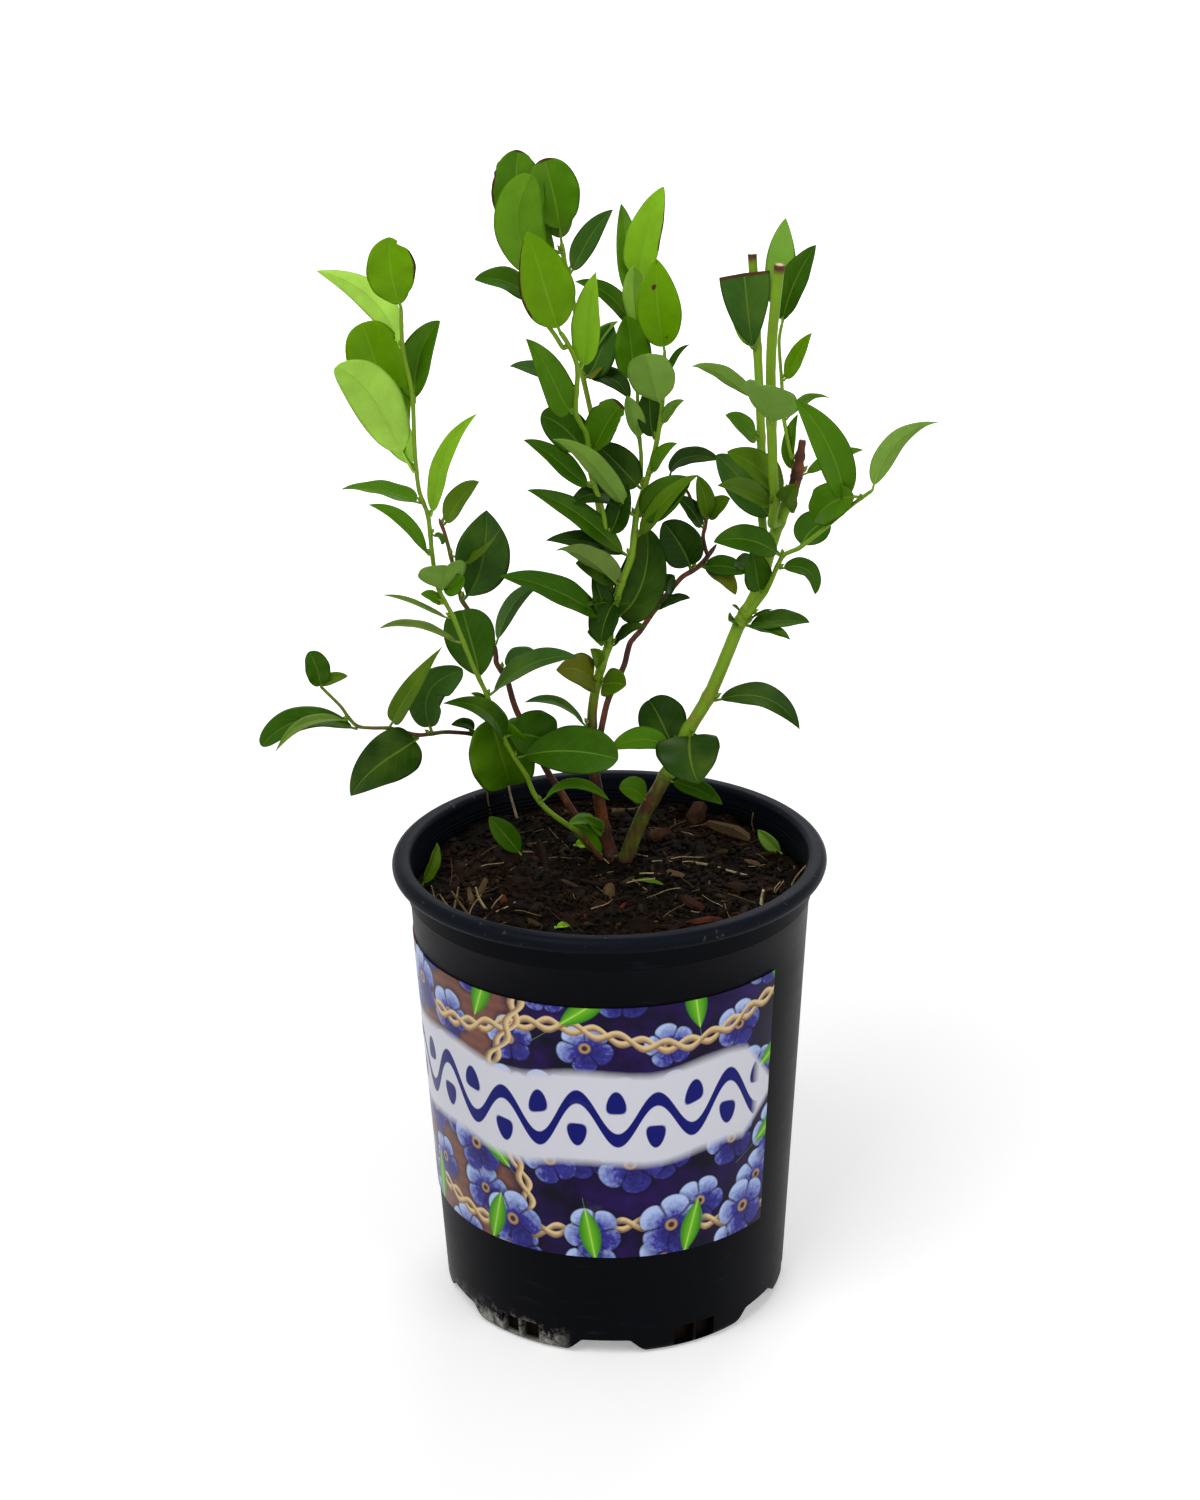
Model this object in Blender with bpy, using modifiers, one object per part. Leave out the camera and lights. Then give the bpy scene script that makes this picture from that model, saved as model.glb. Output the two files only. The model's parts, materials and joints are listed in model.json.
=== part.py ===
"""Potted blueberry bush: a round nursery pot with its printed label, the potting mix, the root
crown, the canes with their side shoots, and the larger leaves, each as its own object.

Frame: metres, +Z up, the pot's axis on Z, its base on z = 0, the front of the pot towards -Y.
The tables below are in millimetres and MM turns them into metres.
"""
import math
from collections import namedtuple

import bmesh
import bpy
from mathutils import Matrix, Vector
from mathutils.geometry import interpolate_bezier

MM = 0.001
NAME = "potted_blueberry_bush"

# ---------------------------------------------------------------- driving dimensions (mm)
GAP = 0.3                   # clearance between touching pieces
POT_HEIGHT = 187.0
LIP_RADIUS = 85.0           # outside of the rolled lip
LIP_BORE = 77.5             # inside of the rolled lip
LIP_HEIGHT = 6.4
WALL_TOP_RADIUS = 78.8      # outside of the wall just under the lip
BASE_RADIUS = 69.0
BASE_CORNER = 4.0
WALL = 1.2
FLOOR_UNDERSIDE = 3.0       # the floor is raised above the foot ring and the middle pad
FLOOR = 1.4
PAD_RADIUS = 22.0           # flat middle pad that stands on z = 0
POT_STEPS = 60

ARCHES = 6                  # raised arches in the foot ring, with a pair of drain holes between
ARCH_WIDTH = 30.0
ARCH_HEIGHT = 2.6
DRAIN_WIDTH = 8.0
DRAIN_HEIGHT = 5.0
DRAIN_PITCH_DEG = 10.0      # angle between the two holes of a pair

LABEL_BOTTOM = 46.0
LABEL_TOP = 156.0
LABEL_FROM_DEG = -109.0     # angles run from the front of the pot, + towards +X
LABEL_TO_DEG = 53.0
LABEL_THICK = 0.3

SOIL_TOP = 173.5
SOIL_EDGE = 171.0
CROWN_CENTRE = (3.0, 19.0, 166.0)
CROWN_RADIUS = 10.0
CROWN_DISH_RADIUS = 20.0    # hollow in the mix around the crown
CROWN_DISH_HEIGHT = 22.5    # centre of the hollow above the crown's centre

LEAF_THICK = 0.6
PETIOLE_WIDTH = 1.4
PETIOLE_GAP = 0.45          # from a stem's surface to the middle of the petiole's foot
LEAF_CUP = 0.22             # how far the margins rise above the midrib, per half width
LEAF_BOW = 0.05             # how far the blade bows to its upper side, per length
LEAF_STATIONS = (0.0, 0.10, 0.20, 0.33, 0.47, 0.62, 0.77, 0.89, 0.96, 1.0)  # shares of a leaf

# The shoots and leaves are laid out in front elevation, on the upright sheet y = 0 as it is seen
# from EYE. A row (x, y, z) is the point at depth y that lies in line with (x, z) on that sheet.
EYE = Vector((-3.0, -1077.0, 655.0))

# ---------------------------------------------------------------- shoots and leaves
# Shoot: parent, path of (x, y, z) rows, radii at the path's two ends, and the shoot's leaves.
# "reach" is the sheet coordinate that places a leaf's foot: 2 along an upright shoot, 0 along a
# spreading one. A foot beyond the path's end stands on the end.
Shoot = namedtuple("Shoot", "name parent reach path radii leaves")
# Leaf: foot, tip row, full width, turn (0 shows the upper face to EYE, 90 turns it upwards or
# towards its shoot, 180 shows the underside), arch (rise over the chord as EYE sees it, as a
# share of the length), tone.
Leaf = namedtuple("Leaf", "foot tip width turn arch tone")
END = 999

SHOOTS = [
    Shoot("left_cane", "root_crown", 2, [
        (-5, 13, 185), (-11, 12, 193), (-17, 11, 198), (-24, 10, 204), (-29, 9, 211),
        (-32, 7, 219), (-40, 4, 234), (-46, -2, 252), (-51, -6, 264), (-58, -11, 284),
        (-63, -15, 295), (-65, -19, 309), (-66, -23, 324), (-69, -26, 334), (-70, -32, 350),
        (-70, -37, 367), (-71, -40, 377), (-73, -44, 388), (-73, -49, 403)], (1.3, 0.5), [
        Leaf(END, (-77, -54, 429), 16, 5, -0.07, "fresh"),
        Leaf(385, (-103, -10, 417.5), 11.5, 170, 0.12, "pale"),
        Leaf(338, (-98, -60, 382), 18.5, 175, 0.09, "pale"),
        Leaf(367.5, (-59, -22, 398.5), 12.5, 20, 0.1, "mid"),
        Leaf(324, (-47, -41, 363), 9.5, 20, 0.08, "fresh"),
        Leaf(328, (-97, -12, 335), 9, 50, 0.08, "olive"),
        Leaf(307, (-88, -32, 328), 9, 35, 0.12, "mid"),
        Leaf(257.5, (-54.5, 9, 286.5), 19.5, 5, 0, "dark"),
        Leaf(248, (-5.5, -19, 266), 11, 45, 0.08, "blue"),
        Leaf(235, (-62.5, -30, 249), 12, 25, 0.08, "mid"),
        Leaf(233, (-36, 21, 216), 26, 0, 0.0, "mid"),
        Leaf(236.5, (-20.5, 18, 231.5), 20, 5, 0.04, "dark"),
        Leaf(226, (4, -19, 224), 19, 10, 0.03, "mid")]),
    Shoot("back_cane", "root_crown", 2, [
        (-9, 24, 188), (-15, 26, 205), (-24, 29, 221), (-35, 35, 246), (-38, 39, 258),
        (-42, 41, 265), (-43, 43, 272), (-53, 49, 288), (-55, 51, 293), (-58, 56, 308),
        (-60, 59, 317), (-62, 61, 323)], (1.6, 0.7), [
        Leaf(291, (-44, 44, 326), 22, 5, -0.07, "blue")]),
    Shoot("low_side_twig", "back_cane", 0, [
        (-31, 31, 234), (-41, 23, 233), (-52, 14, 236), (-63, 7, 237), (-73, 1, 236),
        (-84, -3, 239), (-96, -10, 240), (-102, -15, 248), (-109, -20, 256)], (1.0, 0.6), [
        Leaf(-86, (-63, -13, 272), 8, 25, -0.04, "olive"),
        Leaf(-66, (-54, -4, 262), 17, 5, 0.18, "blue"),
        Leaf(-999, (-115, -24, 271), 11, 10, 0.05, "dark"),
        Leaf(-97, (-134, -36, 232), 13, 35, 0.17, "blue"),
        Leaf(-74, (-100, -24, 212), 20, 0, 0.08, "dark")]),
    Shoot("main_cane", "root_crown", 2, [
        (0, 22, 187), (-2, 21, 196), (-4, 19, 210), (-6, 18, 225), (-6, 17, 239), (-5, 17, 250),
        (-2, 16, 263), (1, 16, 272), (2, 16, 282), (6, 16, 296), (10, 15, 307), (12, 15, 323),
        (15, 15, 333), (17, 15, 340), (20, 14, 352), (22, 14, 366), (23, 14, 385)],
        (2.8, 0.75), [
        Leaf(281, (-40, -8, 299), 14, 30, 0.04, "mid"),
        Leaf(295, (-18.5, -18, 310), 12, 140, 0.12, "pale"),
        Leaf(284.5, (16, 22, 317.5), 19, 5, -0.12, "dark"),
        Leaf(325.5, (-18.5, -27, 353), 9, 150, 0.05, "pale"),
        Leaf(364, (15.5, -10, 384.5), 17.5, 170, 0, "pale"),
        Leaf(END, (19, 6, 420), 16.5, 5, -0.04, "fresh")]),
    Shoot("main_cane_fork", "main_cane", 2, [
        (15, 15, 337), (14, 18, 346), (13, 20, 360), (13, 22, 375), (14, 25, 392),
        (14, 29, 411)], (0.9, 0.6), [
        Leaf(END, (23, 30, 446), 12, 20, 0.02, "fresh")]),
    Shoot("front_shoot", "main_cane", 2, [
        (2, 15, 287), (0, 14, 298), (0, 12, 310), (0, 10, 321), (-2, 8, 330), (-5, 5, 340),
        (-6, 0, 354), (-10, -6, 363), (-9, -15, 379), (-12, -22, 388), (-15, -26, 393)],
        (0.9, 0.7), [
        Leaf(336, (-29, -4, 354), 12, 30, 0.03, "dark"),
        Leaf(346, (7, 5, 366), 12.5, 25, 0.04, "olive"),
        Leaf(364, (-28, -26, 391), 14, 20, 0.03, "mid"),
        Leaf(379, (-2, -32, 416), 10.5, 15, 0.02, "fresh"),
        Leaf(END, (-27, -40, 431), 20, 5, 0.0, "olive")]),
    Shoot("top_shoot", "main_cane", 2, [
        (4, 18, 290), (1, 29, 308), (-2, 38, 325), (-4, 44, 343), (-4, 48, 360), (-7, 51, 376),
        (-8, 55, 391), (-11, 59, 409), (-13, 62, 419), (-14, 64, 426)], (1.2, 0.9), [
        Leaf(END, (-21, 64, 456), 18, 5, 0.02, "dark"),
        Leaf(421, (-29, 74, 460), 21, 10, -0.14, "mid"),
        Leaf(405.5, (-24.5, 44, 451), 19.5, 170, -0.24, "pale")]),
    Shoot("woody_branch", "main_cane", 2, [
        (-5, 20, 228), (-3, 25, 234), (0, 31, 248), (4, 36, 257), (7, 40, 264), (9, 44, 272),
        (13, 49, 277), (19, 55, 286), (27, 62, 296), (30, 64, 299), (36, 67, 303),
        (42, 73, 311)], (1.4, 1.0), [
        Leaf(300, (22, 60, 320), 17, 5, 0.04, "dark")]),
    Shoot("right_cane", "root_crown", 2, [
        (8, 15, 186), (13, 15, 200), (20, 15, 213), (24, 16, 221), (31, 15, 236), (39, 15, 250),
        (46, 14, 267), (51, 14, 280), (55, 14, 287), (58, 14, 294), (61, 14, 304), (64, 14, 315),
        (67, 14, 323), (70, 14, 330), (72, 13, 338), (74, 14, 351)], (3.4, 1.7), [
        Leaf(236, (35, -13, 214), 25, 0, -0.06, "dark"),
        Leaf(227, (16, 29, 249), 19, 5, 0.03, "dark"),
        Leaf(249, (74, -4, 236), 11, 30, 0.18, "mid")]),
    Shoot("pruned_stem_left", "right_cane", 2, [
        (60, 18, 299), (60, 21, 311), (59, 21, 323), (59, 20, 338), (58, 20, 367),
        (57, 21, 386), (55, 24, 421)], (1.6, 1.7), [
        Leaf(384, (51, 16, 422), 19, 5, 0.0, "blue")]),
    Shoot("pruned_stem_right", "right_cane", 2, [
        (66, 10, 318), (64, 7, 328), (63, 4, 341), (62, 0, 377), (63, -2, 397), (65, -5, 417)],
        (1.8, 2.0), [
        Leaf(325, (42.5, -24, 334), 9.5, 30, 0.02, "olive"),
        Leaf(365.5, (59, -44, 372), 20, 150, 0, "pale")]),
    Shoot("right_side_branch", "right_cane", 0, [
        (54, 13, 283), (60, 6, 291), (63, 0, 297), (67, -6, 306), (73, -12, 309), (83, -22, 317),
        (92, -33, 325), (100, -44, 331)], (1.1, 0.7), [
        Leaf(END, (124, -62, 357), 6, 160, 0.13, "pale"),
        Leaf(91.5, (71, -45, 366.5), 13.5, 15, 0.07, "mid"),
        Leaf(67, (41, -15, 312), 12, 25, 0.10, "mid")]),
]

TONES = {                   # leaf green for each tone
    "fresh": (0.28, 0.45, 0.02), "mid": (0.12, 0.30, 0.02), "dark": (0.04, 0.14, 0.01),
    "blue": (0.05, 0.18, 0.05), "olive": (0.22, 0.33, 0.02), "pale": (0.26, 0.44, 0.10),
}


# ---------------------------------------------------------------- scene helpers
def start_scene():
    """Empty the file and return the parts' collection and the cutters' collection."""
    for old in list(bpy.data.objects):
        bpy.data.objects.remove(old, do_unlink=True)
    parts = bpy.data.collections.new(NAME)
    cutters = bpy.data.collections.new("cutters")
    bpy.context.scene.collection.children.link(parts)
    bpy.context.scene.collection.children.link(cutters)
    return parts, cutters


PARTS, CUTTERS = start_scene()


def material(name, colour, roughness, metallic=0.0):
    made = bpy.data.materials.new(name)
    made.use_nodes = True
    shader = made.node_tree.nodes["Principled BSDF"]
    shader.inputs["Base Color"].default_value = (*colour, 1.0)
    shader.inputs["Roughness"].default_value = roughness
    shader.inputs["Metallic"].default_value = metallic
    return made


def add_object(name, data, finish=None):
    made = bpy.data.objects.new(name, data)
    PARTS.objects.link(made)
    if finish:
        made.data.materials.append(finish)
    return made


def mesh_object(name, bm, finish=None):
    mesh = bpy.data.meshes.new(name)
    bm.to_mesh(mesh)
    bm.free()
    return add_object(name, mesh, finish)


def as_cutter(made):
    PARTS.objects.unlink(made)
    CUTTERS.objects.link(made)
    made.hide_render = True
    made.display_type = "WIRE"
    return made


def cut(target, cutter):
    change = target.modifiers.new("cut_" + cutter.name, "BOOLEAN")
    change.operation = "DIFFERENCE"
    change.solver = "EXACT"
    change.object = cutter


def smooth(made, angle_deg=40):
    made.data.shade_smooth()
    made.data.set_sharp_from_angle(angle=math.radians(angle_deg))


def thicken(made, thickness):
    shell = made.modifiers.new("thickness", "SOLIDIFY")
    shell.thickness = thickness * MM
    shell.offset = 0.0


def turned(name, profile, steps, finish=None):
    """Turn a closed outline of (radius, z) points, its outer side running downwards, about Z."""
    bm = bmesh.new()
    verts = [bm.verts.new((r * MM, 0, z * MM)) for r, z in profile]
    for start, end in zip(verts, verts[1:] + verts[:1]):
        if start.co.x > 0 or end.co.x > 0:
            bm.edges.new((start, end))
    made = mesh_object(name, bm, finish)
    screw = made.modifiers.new("turn", "SCREW")
    screw.steps = steps
    screw.render_steps = steps
    screw.use_merge_vertices = True
    screw.merge_threshold = 0.00001
    return made


def box(name, low, high, angle_deg=0.0):
    """Box between two corners in mm, turned about Z by an angle."""
    low = Vector(low) * MM
    high = Vector(high) * MM
    bm = bmesh.new()
    bmesh.ops.create_cube(bm, size=1.0)
    size = high - low
    bmesh.ops.scale(bm, vec=size, verts=bm.verts)
    bmesh.ops.translate(bm, vec=(low + high) / 2, verts=bm.verts)
    bmesh.ops.rotate(bm, cent=(0, 0, 0), verts=bm.verts,
                     matrix=Matrix.Rotation(math.radians(angle_deg), 3, "Z"))
    return mesh_object(name, bm)


def ball(name, centre, radius, detail=24, squash=1.0, finish=None):
    bm = bmesh.new()
    bmesh.ops.create_uvsphere(bm, u_segments=detail, v_segments=detail // 2, radius=radius * MM)
    bmesh.ops.scale(bm, vec=(1, 1, squash), verts=bm.verts)
    bmesh.ops.translate(bm, vec=Vector(centre) * MM, verts=bm.verts)
    return mesh_object(name, bm, finish)


# ---------------------------------------------------------------- pot
def wall_radius(z):
    """Outside radius of the tapered wall at height z."""
    share = (z - BASE_CORNER) / (POT_HEIGHT - LIP_HEIGHT - BASE_CORNER)
    return BASE_RADIUS + (WALL_TOP_RADIUS - BASE_RADIUS) * share


def arc(centre_r, centre_z, radius, from_deg, to_deg, count):
    """Points of an arc in the (radius, z) plane."""
    points = []
    for step in range(count + 1):
        angle = math.radians(from_deg + (to_deg - from_deg) * step / count)
        points.append((centre_r + radius * math.cos(angle), centre_z + radius * math.sin(angle)))
    return points


def pot_profile():
    under_lip = POT_HEIGHT - LIP_HEIGHT
    roll = LIP_HEIGHT / 2
    floor_top = FLOOR_UNDERSIDE + FLOOR
    ring_inside = BASE_RADIUS - BASE_CORNER - 2.0
    outer = arc(LIP_RADIUS - roll, POT_HEIGHT - roll, roll, 90, -90, 6)
    outer.append((WALL_TOP_RADIUS, under_lip))
    outer += arc(BASE_RADIUS - BASE_CORNER, BASE_CORNER, BASE_CORNER, 0, -90, 4)
    under = [(ring_inside, 0), (ring_inside - 1.0, FLOOR_UNDERSIDE),
             (PAD_RADIUS + 2.0, FLOOR_UNDERSIDE), (PAD_RADIUS, 0), (0, 0)]
    inner_corner = BASE_CORNER - 0.5
    corner_r = wall_radius(floor_top) - WALL - inner_corner
    inside = [(0, floor_top)]
    inside += arc(corner_r, floor_top + inner_corner, inner_corner, -90, 0, 3)
    inside += [(wall_radius(SOIL_EDGE) - WALL, SOIL_EDGE), (LIP_BORE - 0.3, under_lip - 1.0),
               (LIP_BORE, POT_HEIGHT - 1.6), (LIP_BORE + 1.8, POT_HEIGHT)]
    return outer + under + inside


def build_pot():
    plastic = material("pot_plastic", (0.012, 0.016, 0.020), 0.38)
    pot = turned("nursery_pot", pot_profile(), POT_STEPS, plastic)
    step = 360.0 / ARCHES
    floor_top = FLOOR_UNDERSIDE + FLOOR
    for index in range(ARCHES):
        low = (-ARCH_WIDTH / 2, -BASE_RADIUS - 5, -5)
        high = (ARCH_WIDTH / 2, -PAD_RADIUS - 12, ARCH_HEIGHT)
        cut(pot, as_cutter(box(f"foot_arch_{index}", low, high, index * step)))
        for side in (-1, 1):
            low = (-DRAIN_WIDTH / 2, -BASE_RADIUS - 5, floor_top + 0.4)
            high = (DRAIN_WIDTH / 2, -BASE_RADIUS + 7, floor_top + 0.4 + DRAIN_HEIGHT)
            angle = (index + 0.5) * step + side * DRAIN_PITCH_DEG / 2
            cut(pot, as_cutter(box(f"drain_{index}_{side + 1}", low, high, angle)))
    smooth(pot, 35)
    return pot


def build_label():
    """Printed label: a thin sheet wrapped round the tapered wall."""
    film = material("label_film", (0.30, 0.30, 0.45), 0.30)
    bm = bmesh.new()
    bmesh.ops.create_grid(bm, x_segments=27, y_segments=1, size=0.5)
    for vert in bm.verts:
        share_x = vert.co.x + 0.5
        share_z = vert.co.y + 0.5
        z = LABEL_BOTTOM + (LABEL_TOP - LABEL_BOTTOM) * share_z
        angle = math.radians(LABEL_FROM_DEG + (LABEL_TO_DEG - LABEL_FROM_DEG) * share_x)
        radius = wall_radius(z) + GAP + LABEL_THICK / 2
        vert.co = Vector((radius * math.sin(angle), -radius * math.cos(angle), z)) * MM
    label = mesh_object("pot_label", bm, film)
    thicken(label, LABEL_THICK)
    smooth(label)
    return label


# ---------------------------------------------------------------- mix and root crown
def build_mix():
    earth = material("bark_and_peat", (0.020, 0.013, 0.009), 0.95)
    bottom = FLOOR_UNDERSIDE + FLOOR + GAP
    corner = BASE_CORNER
    corner_r = wall_radius(bottom) - WALL - GAP - corner
    edge_r = wall_radius(SOIL_EDGE) - WALL - GAP
    profile = [(0, SOIL_TOP), (30, SOIL_TOP), (55, SOIL_TOP - 0.6), (edge_r, SOIL_EDGE)]
    profile += arc(corner_r, bottom + corner, corner, 0, -90, 3)
    profile.append((0, bottom))
    mix = turned("potting_mix", profile, 48, earth)
    dish = (CROWN_CENTRE[0], CROWN_CENTRE[1], CROWN_CENTRE[2] + CROWN_DISH_HEIGHT)
    cut(mix, as_cutter(ball("crown_dish", dish, CROWN_DISH_RADIUS)))
    cut(mix, as_cutter(ball("crown_socket", CROWN_CENTRE, CROWN_RADIUS + GAP + 0.15)))
    smooth(mix, 50)
    return mix


def build_crown():
    bark = material("crown_bark", (0.10, 0.055, 0.035), 0.8)
    crown = ball("root_crown", CROWN_CENTRE, CROWN_RADIUS, finish=bark)
    smooth(crown, 60)
    return crown


# ---------------------------------------------------------------- shoots
def placed(row):
    """The point at depth y in line with (x, z) on the elevation sheet, in mm."""
    x, y, z = row
    sheet = Vector((x, 0.0, z))
    return EYE + (sheet - EYE) * ((y - EYE.y) / -EYE.y)


def spline_rows(path, per_span=3):
    """Rows of a smooth curve through the path's own rows (Catmull-Rom)."""
    rows = [Vector(row) for row in path]
    ends = [rows[0] * 2 - rows[1]] + rows + [rows[-1] * 2 - rows[-2]]
    smoothed = []
    for before, start, end, after in zip(ends, ends[1:], ends[2:], ends[3:]):
        for step in range(per_span):
            t = step / per_span
            smoothed.append(0.5 * (2 * start + (end - before) * t
                                   + (2 * before - 5 * start + 4 * end - after) * t ** 2
                                   + (3 * start - before - 3 * end + after) * t ** 3))
    smoothed.append(rows[-1])
    return smoothed


class Stem:
    """A shoot's centre line: rows on the elevation sheet, real points and radii, all in mm."""

    def __init__(self, shoot, parent):
        self.rows = spline_rows(shoot.path, 2)
        self.points = [placed(row) for row in self.rows]
        last = len(self.points) - 1
        start, end = shoot.radii
        self.radii = [start + (end - start) * (i / last) ** 0.7 for i in range(last + 1)]
        self.reach = shoot.reach
        self.seat(parent)

    def seat(self, parent):
        """Start the stem square on its parent's surface, one GAP off it."""
        goal = self.points[2]
        radius = self.radii[0]
        if parent is None:
            base = Vector(CROWN_CENTRE)
            out = (self.points[1] - base).normalized()
            off = CROWN_RADIUS + GAP
        else:
            index = parent.nearest(self.points[0])
            base = parent.points[index]
            along = parent.tangent(index)
            out = goal - base
            out = (out - along * out.dot(along)).normalized()
            off = parent.radii[index] + GAP
        first = base + out * off
        second = first + out * radius * 1.3
        self.points[0] = first
        self.points[1] = second

    def nearest(self, point):
        return min(range(1, len(self.points)), key=lambda i: (self.points[i] - point).length)

    def tangent(self, index):
        low = max(index - 1, 0)
        high = min(index + 1, len(self.points) - 1)
        return (self.points[high] - self.points[low]).normalized()

    def foot(self, reach, tip):
        """Where a leaf's petiole starts, and the direction in which it leaves the stem."""
        last = len(self.points) - 1
        if abs(reach) == END:
            along = self.tangent(last)
            return self.points[last] + along * PETIOLE_GAP, along
        index = min(range(2, last), key=lambda i: abs(self.rows[i][self.reach] - reach))
        along = self.tangent(index)
        out = tip - self.points[index]
        out = (out - along * out.dot(along)).normalized()
        return self.points[index] + out * (self.radii[index] + PETIOLE_GAP), out

    def build(self, name, finish):
        curve = bpy.data.curves.new(name, "CURVE")
        curve.dimensions = "3D"
        curve.bevel_depth = MM
        curve.bevel_resolution = 2
        curve.use_fill_caps = True
        spline = curve.splines.new("POLY")
        spline.points.add(len(self.points) - 1)
        for target, point, radius in zip(spline.points, self.points, self.radii):
            target.co = (*(point * MM), 1.0)
            target.radius = radius
        return add_object(name, curve, finish)


# ---------------------------------------------------------------- leaves
def leaf_outline(share, plumpness):
    """Half width at a share of the blade's length, as part of the widest.

    A plump leaf (wide for its length) is rounder at both ends than a slender one.
    """
    round_part = min(max((plumpness - 0.3) / 0.4, 0.0), 1.0)
    base_power = 0.70 - 0.20 * round_part
    tip_power = 0.88 - 0.34 * round_part
    widest = base_power / (base_power + tip_power)
    peak = widest ** base_power * (1 - widest) ** tip_power
    return share ** base_power * (1 - share) ** tip_power / peak


def leaf_frame(foot, tip, turn_deg):
    """Direction in which a leaf's arch rises as EYE sees it, and the normal of its upper face."""
    axis = (tip - foot).normalized()
    front = (EYE - (foot + tip) / 2).normalized()
    front = (front - axis * front.dot(axis)).normalized()
    up = axis.cross(front)
    if axis.x > 0:
        up = -up
    turn = math.radians(turn_deg)
    return up, front * math.cos(turn) + up * math.sin(turn)


def build_leaf(name, leaf, stem, finish):
    tip = placed(leaf.tip)
    foot, out = stem.foot(leaf.foot, tip)
    chord = tip - foot
    length = chord.length
    up, normal = leaf_frame(foot, tip, leaf.turn)
    axis = chord.normalized()
    rise = (up * leaf.arch + normal * LEAF_BOW) * length
    # The midrib is a Bezier curve that leaves the stem square and rises over its chord.
    first = foot + out * 0.16 * length + axis * 0.18 * length + rise * 1.1
    second = foot + axis * 0.65 * length + rise * 1.5
    line = interpolate_bezier(foot, first, second, tip, 101)
    petiole = LEAF_STATIONS[1]
    rows = len(LEAF_STATIONS) - 1
    bm = bmesh.new()
    bmesh.ops.create_grid(bm, x_segments=rows, y_segments=2, size=1.0)
    for vert in bm.verts:
        across = round(vert.co.y)
        station = LEAF_STATIONS[round((vert.co.x + 1) / 2 * rows)]
        at = round(station * 100)
        centre = line[at]
        along = (line[min(at + 1, 100)] - line[max(at - 1, 0)]).normalized()
        width_way = along.cross(normal).normalized()
        rise_way = width_way.cross(along)
        share = max(station - petiole, 0.0) / (1 - petiole)
        blade_half = leaf.width / 2 * leaf_outline(share, leaf.width / length)
        half = max(blade_half, PETIOLE_WIDTH / 2 * (1 - station) + 0.3 * station)
        lift = LEAF_CUP * half if share > 0 else 0.0
        vert.co = (centre + width_way * across * half + rise_way * abs(across) * lift) * MM
    made = mesh_object(name, bm, finish)
    thicken(made, LEAF_THICK)
    smooth(made, 60)
    return made


def build_shoots():
    stems = {"root_crown": None}
    for shoot in SHOOTS:
        stem = Stem(shoot, stems[shoot.parent])
        stems[shoot.name] = stem
        bark = material(shoot.name + "_bark", (0.20, 0.30, 0.04), 0.55)
        stem.build(shoot.name, bark)
        for number, leaf in enumerate(shoot.leaves, 1):
            name = f"{shoot.name}_leaf_{number}"
            green = material(name + "_green", TONES[leaf.tone], 0.5)
            build_leaf(name, leaf, stem, green)


build_pot()
build_label()
build_mix()
build_crown()
build_shoots()
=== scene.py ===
"""Looks of the potted blueberry bush: nursery pot, printed label, potting mix, canes and leaves.

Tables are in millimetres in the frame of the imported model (+Z up, the pot's axis on Z, its front
towards -Y); MM turns them into metres. Every piece rides on the one body, "root".
"""

import json
import math
import random
from collections import namedtuple
from functools import partialmethod

import bmesh
import bpy
from mathutils import Matrix, Vector, noise
from mathutils.geometry import interpolate_bezier

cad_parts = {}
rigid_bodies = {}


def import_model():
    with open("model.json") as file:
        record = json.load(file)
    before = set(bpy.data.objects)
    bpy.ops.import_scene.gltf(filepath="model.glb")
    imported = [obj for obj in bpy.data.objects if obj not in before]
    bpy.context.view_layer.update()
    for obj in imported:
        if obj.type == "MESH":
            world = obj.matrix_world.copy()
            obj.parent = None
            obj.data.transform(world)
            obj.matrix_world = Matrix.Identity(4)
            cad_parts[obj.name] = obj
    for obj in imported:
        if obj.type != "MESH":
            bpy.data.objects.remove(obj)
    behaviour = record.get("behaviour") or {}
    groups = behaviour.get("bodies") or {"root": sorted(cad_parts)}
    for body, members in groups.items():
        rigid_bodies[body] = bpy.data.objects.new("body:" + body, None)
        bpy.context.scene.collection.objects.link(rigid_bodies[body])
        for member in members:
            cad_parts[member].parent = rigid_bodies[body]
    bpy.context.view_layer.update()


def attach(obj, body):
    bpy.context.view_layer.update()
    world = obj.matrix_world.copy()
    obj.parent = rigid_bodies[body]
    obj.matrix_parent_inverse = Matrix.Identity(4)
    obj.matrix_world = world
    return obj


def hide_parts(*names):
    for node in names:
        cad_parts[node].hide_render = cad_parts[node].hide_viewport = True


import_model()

MM = 0.001
BODY = "root"

# ---------------------------------------------------------------- driving dimensions (mm)
POT_HEIGHT = 187.0
LIP_RADIUS = 85.0
LIP_BORE = 77.5
LIP_HEIGHT = 6.4
WALL_TOP_RADIUS = 78.8
BASE_RADIUS = 69.0
BASE_CORNER = 4.0
WALL = 1.2
FLOOR_UNDERSIDE = 7.6
FLOOR = 1.4
PAD_RADIUS = 22.0
POT_STEPS = 192
SHOULDER_Z = 171.0          # fine step round the wall, under the lip
INNER_RIBS = 6              # fine rings moulded inside the wall, under the lip
RIB_PITCH = 1.7
RIB_DEPTH = 0.35

ARCHES = 6
ARCH_WIDTH = 34.0           # at the foot, where both ends of an arch start to rise
ARCH_RAMP = 7.5
ARCH_STEPS = 14
ARCH_HEIGHT = 6.9
ARCH_DEPTH = 7.5            # how far the arches are cut in, past the foot ring
DRAIN_WIDTH = 8.2
DRAIN_DEPTH = 5.0
DRAIN_BOTTOM = 1.2
DRAIN_TOP = 10.4
DRAIN_PITCH_DEG = 7.8
FOOT_TURN_DEG = -3.6        # turn of the arches and drains from the front, to the left

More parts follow.
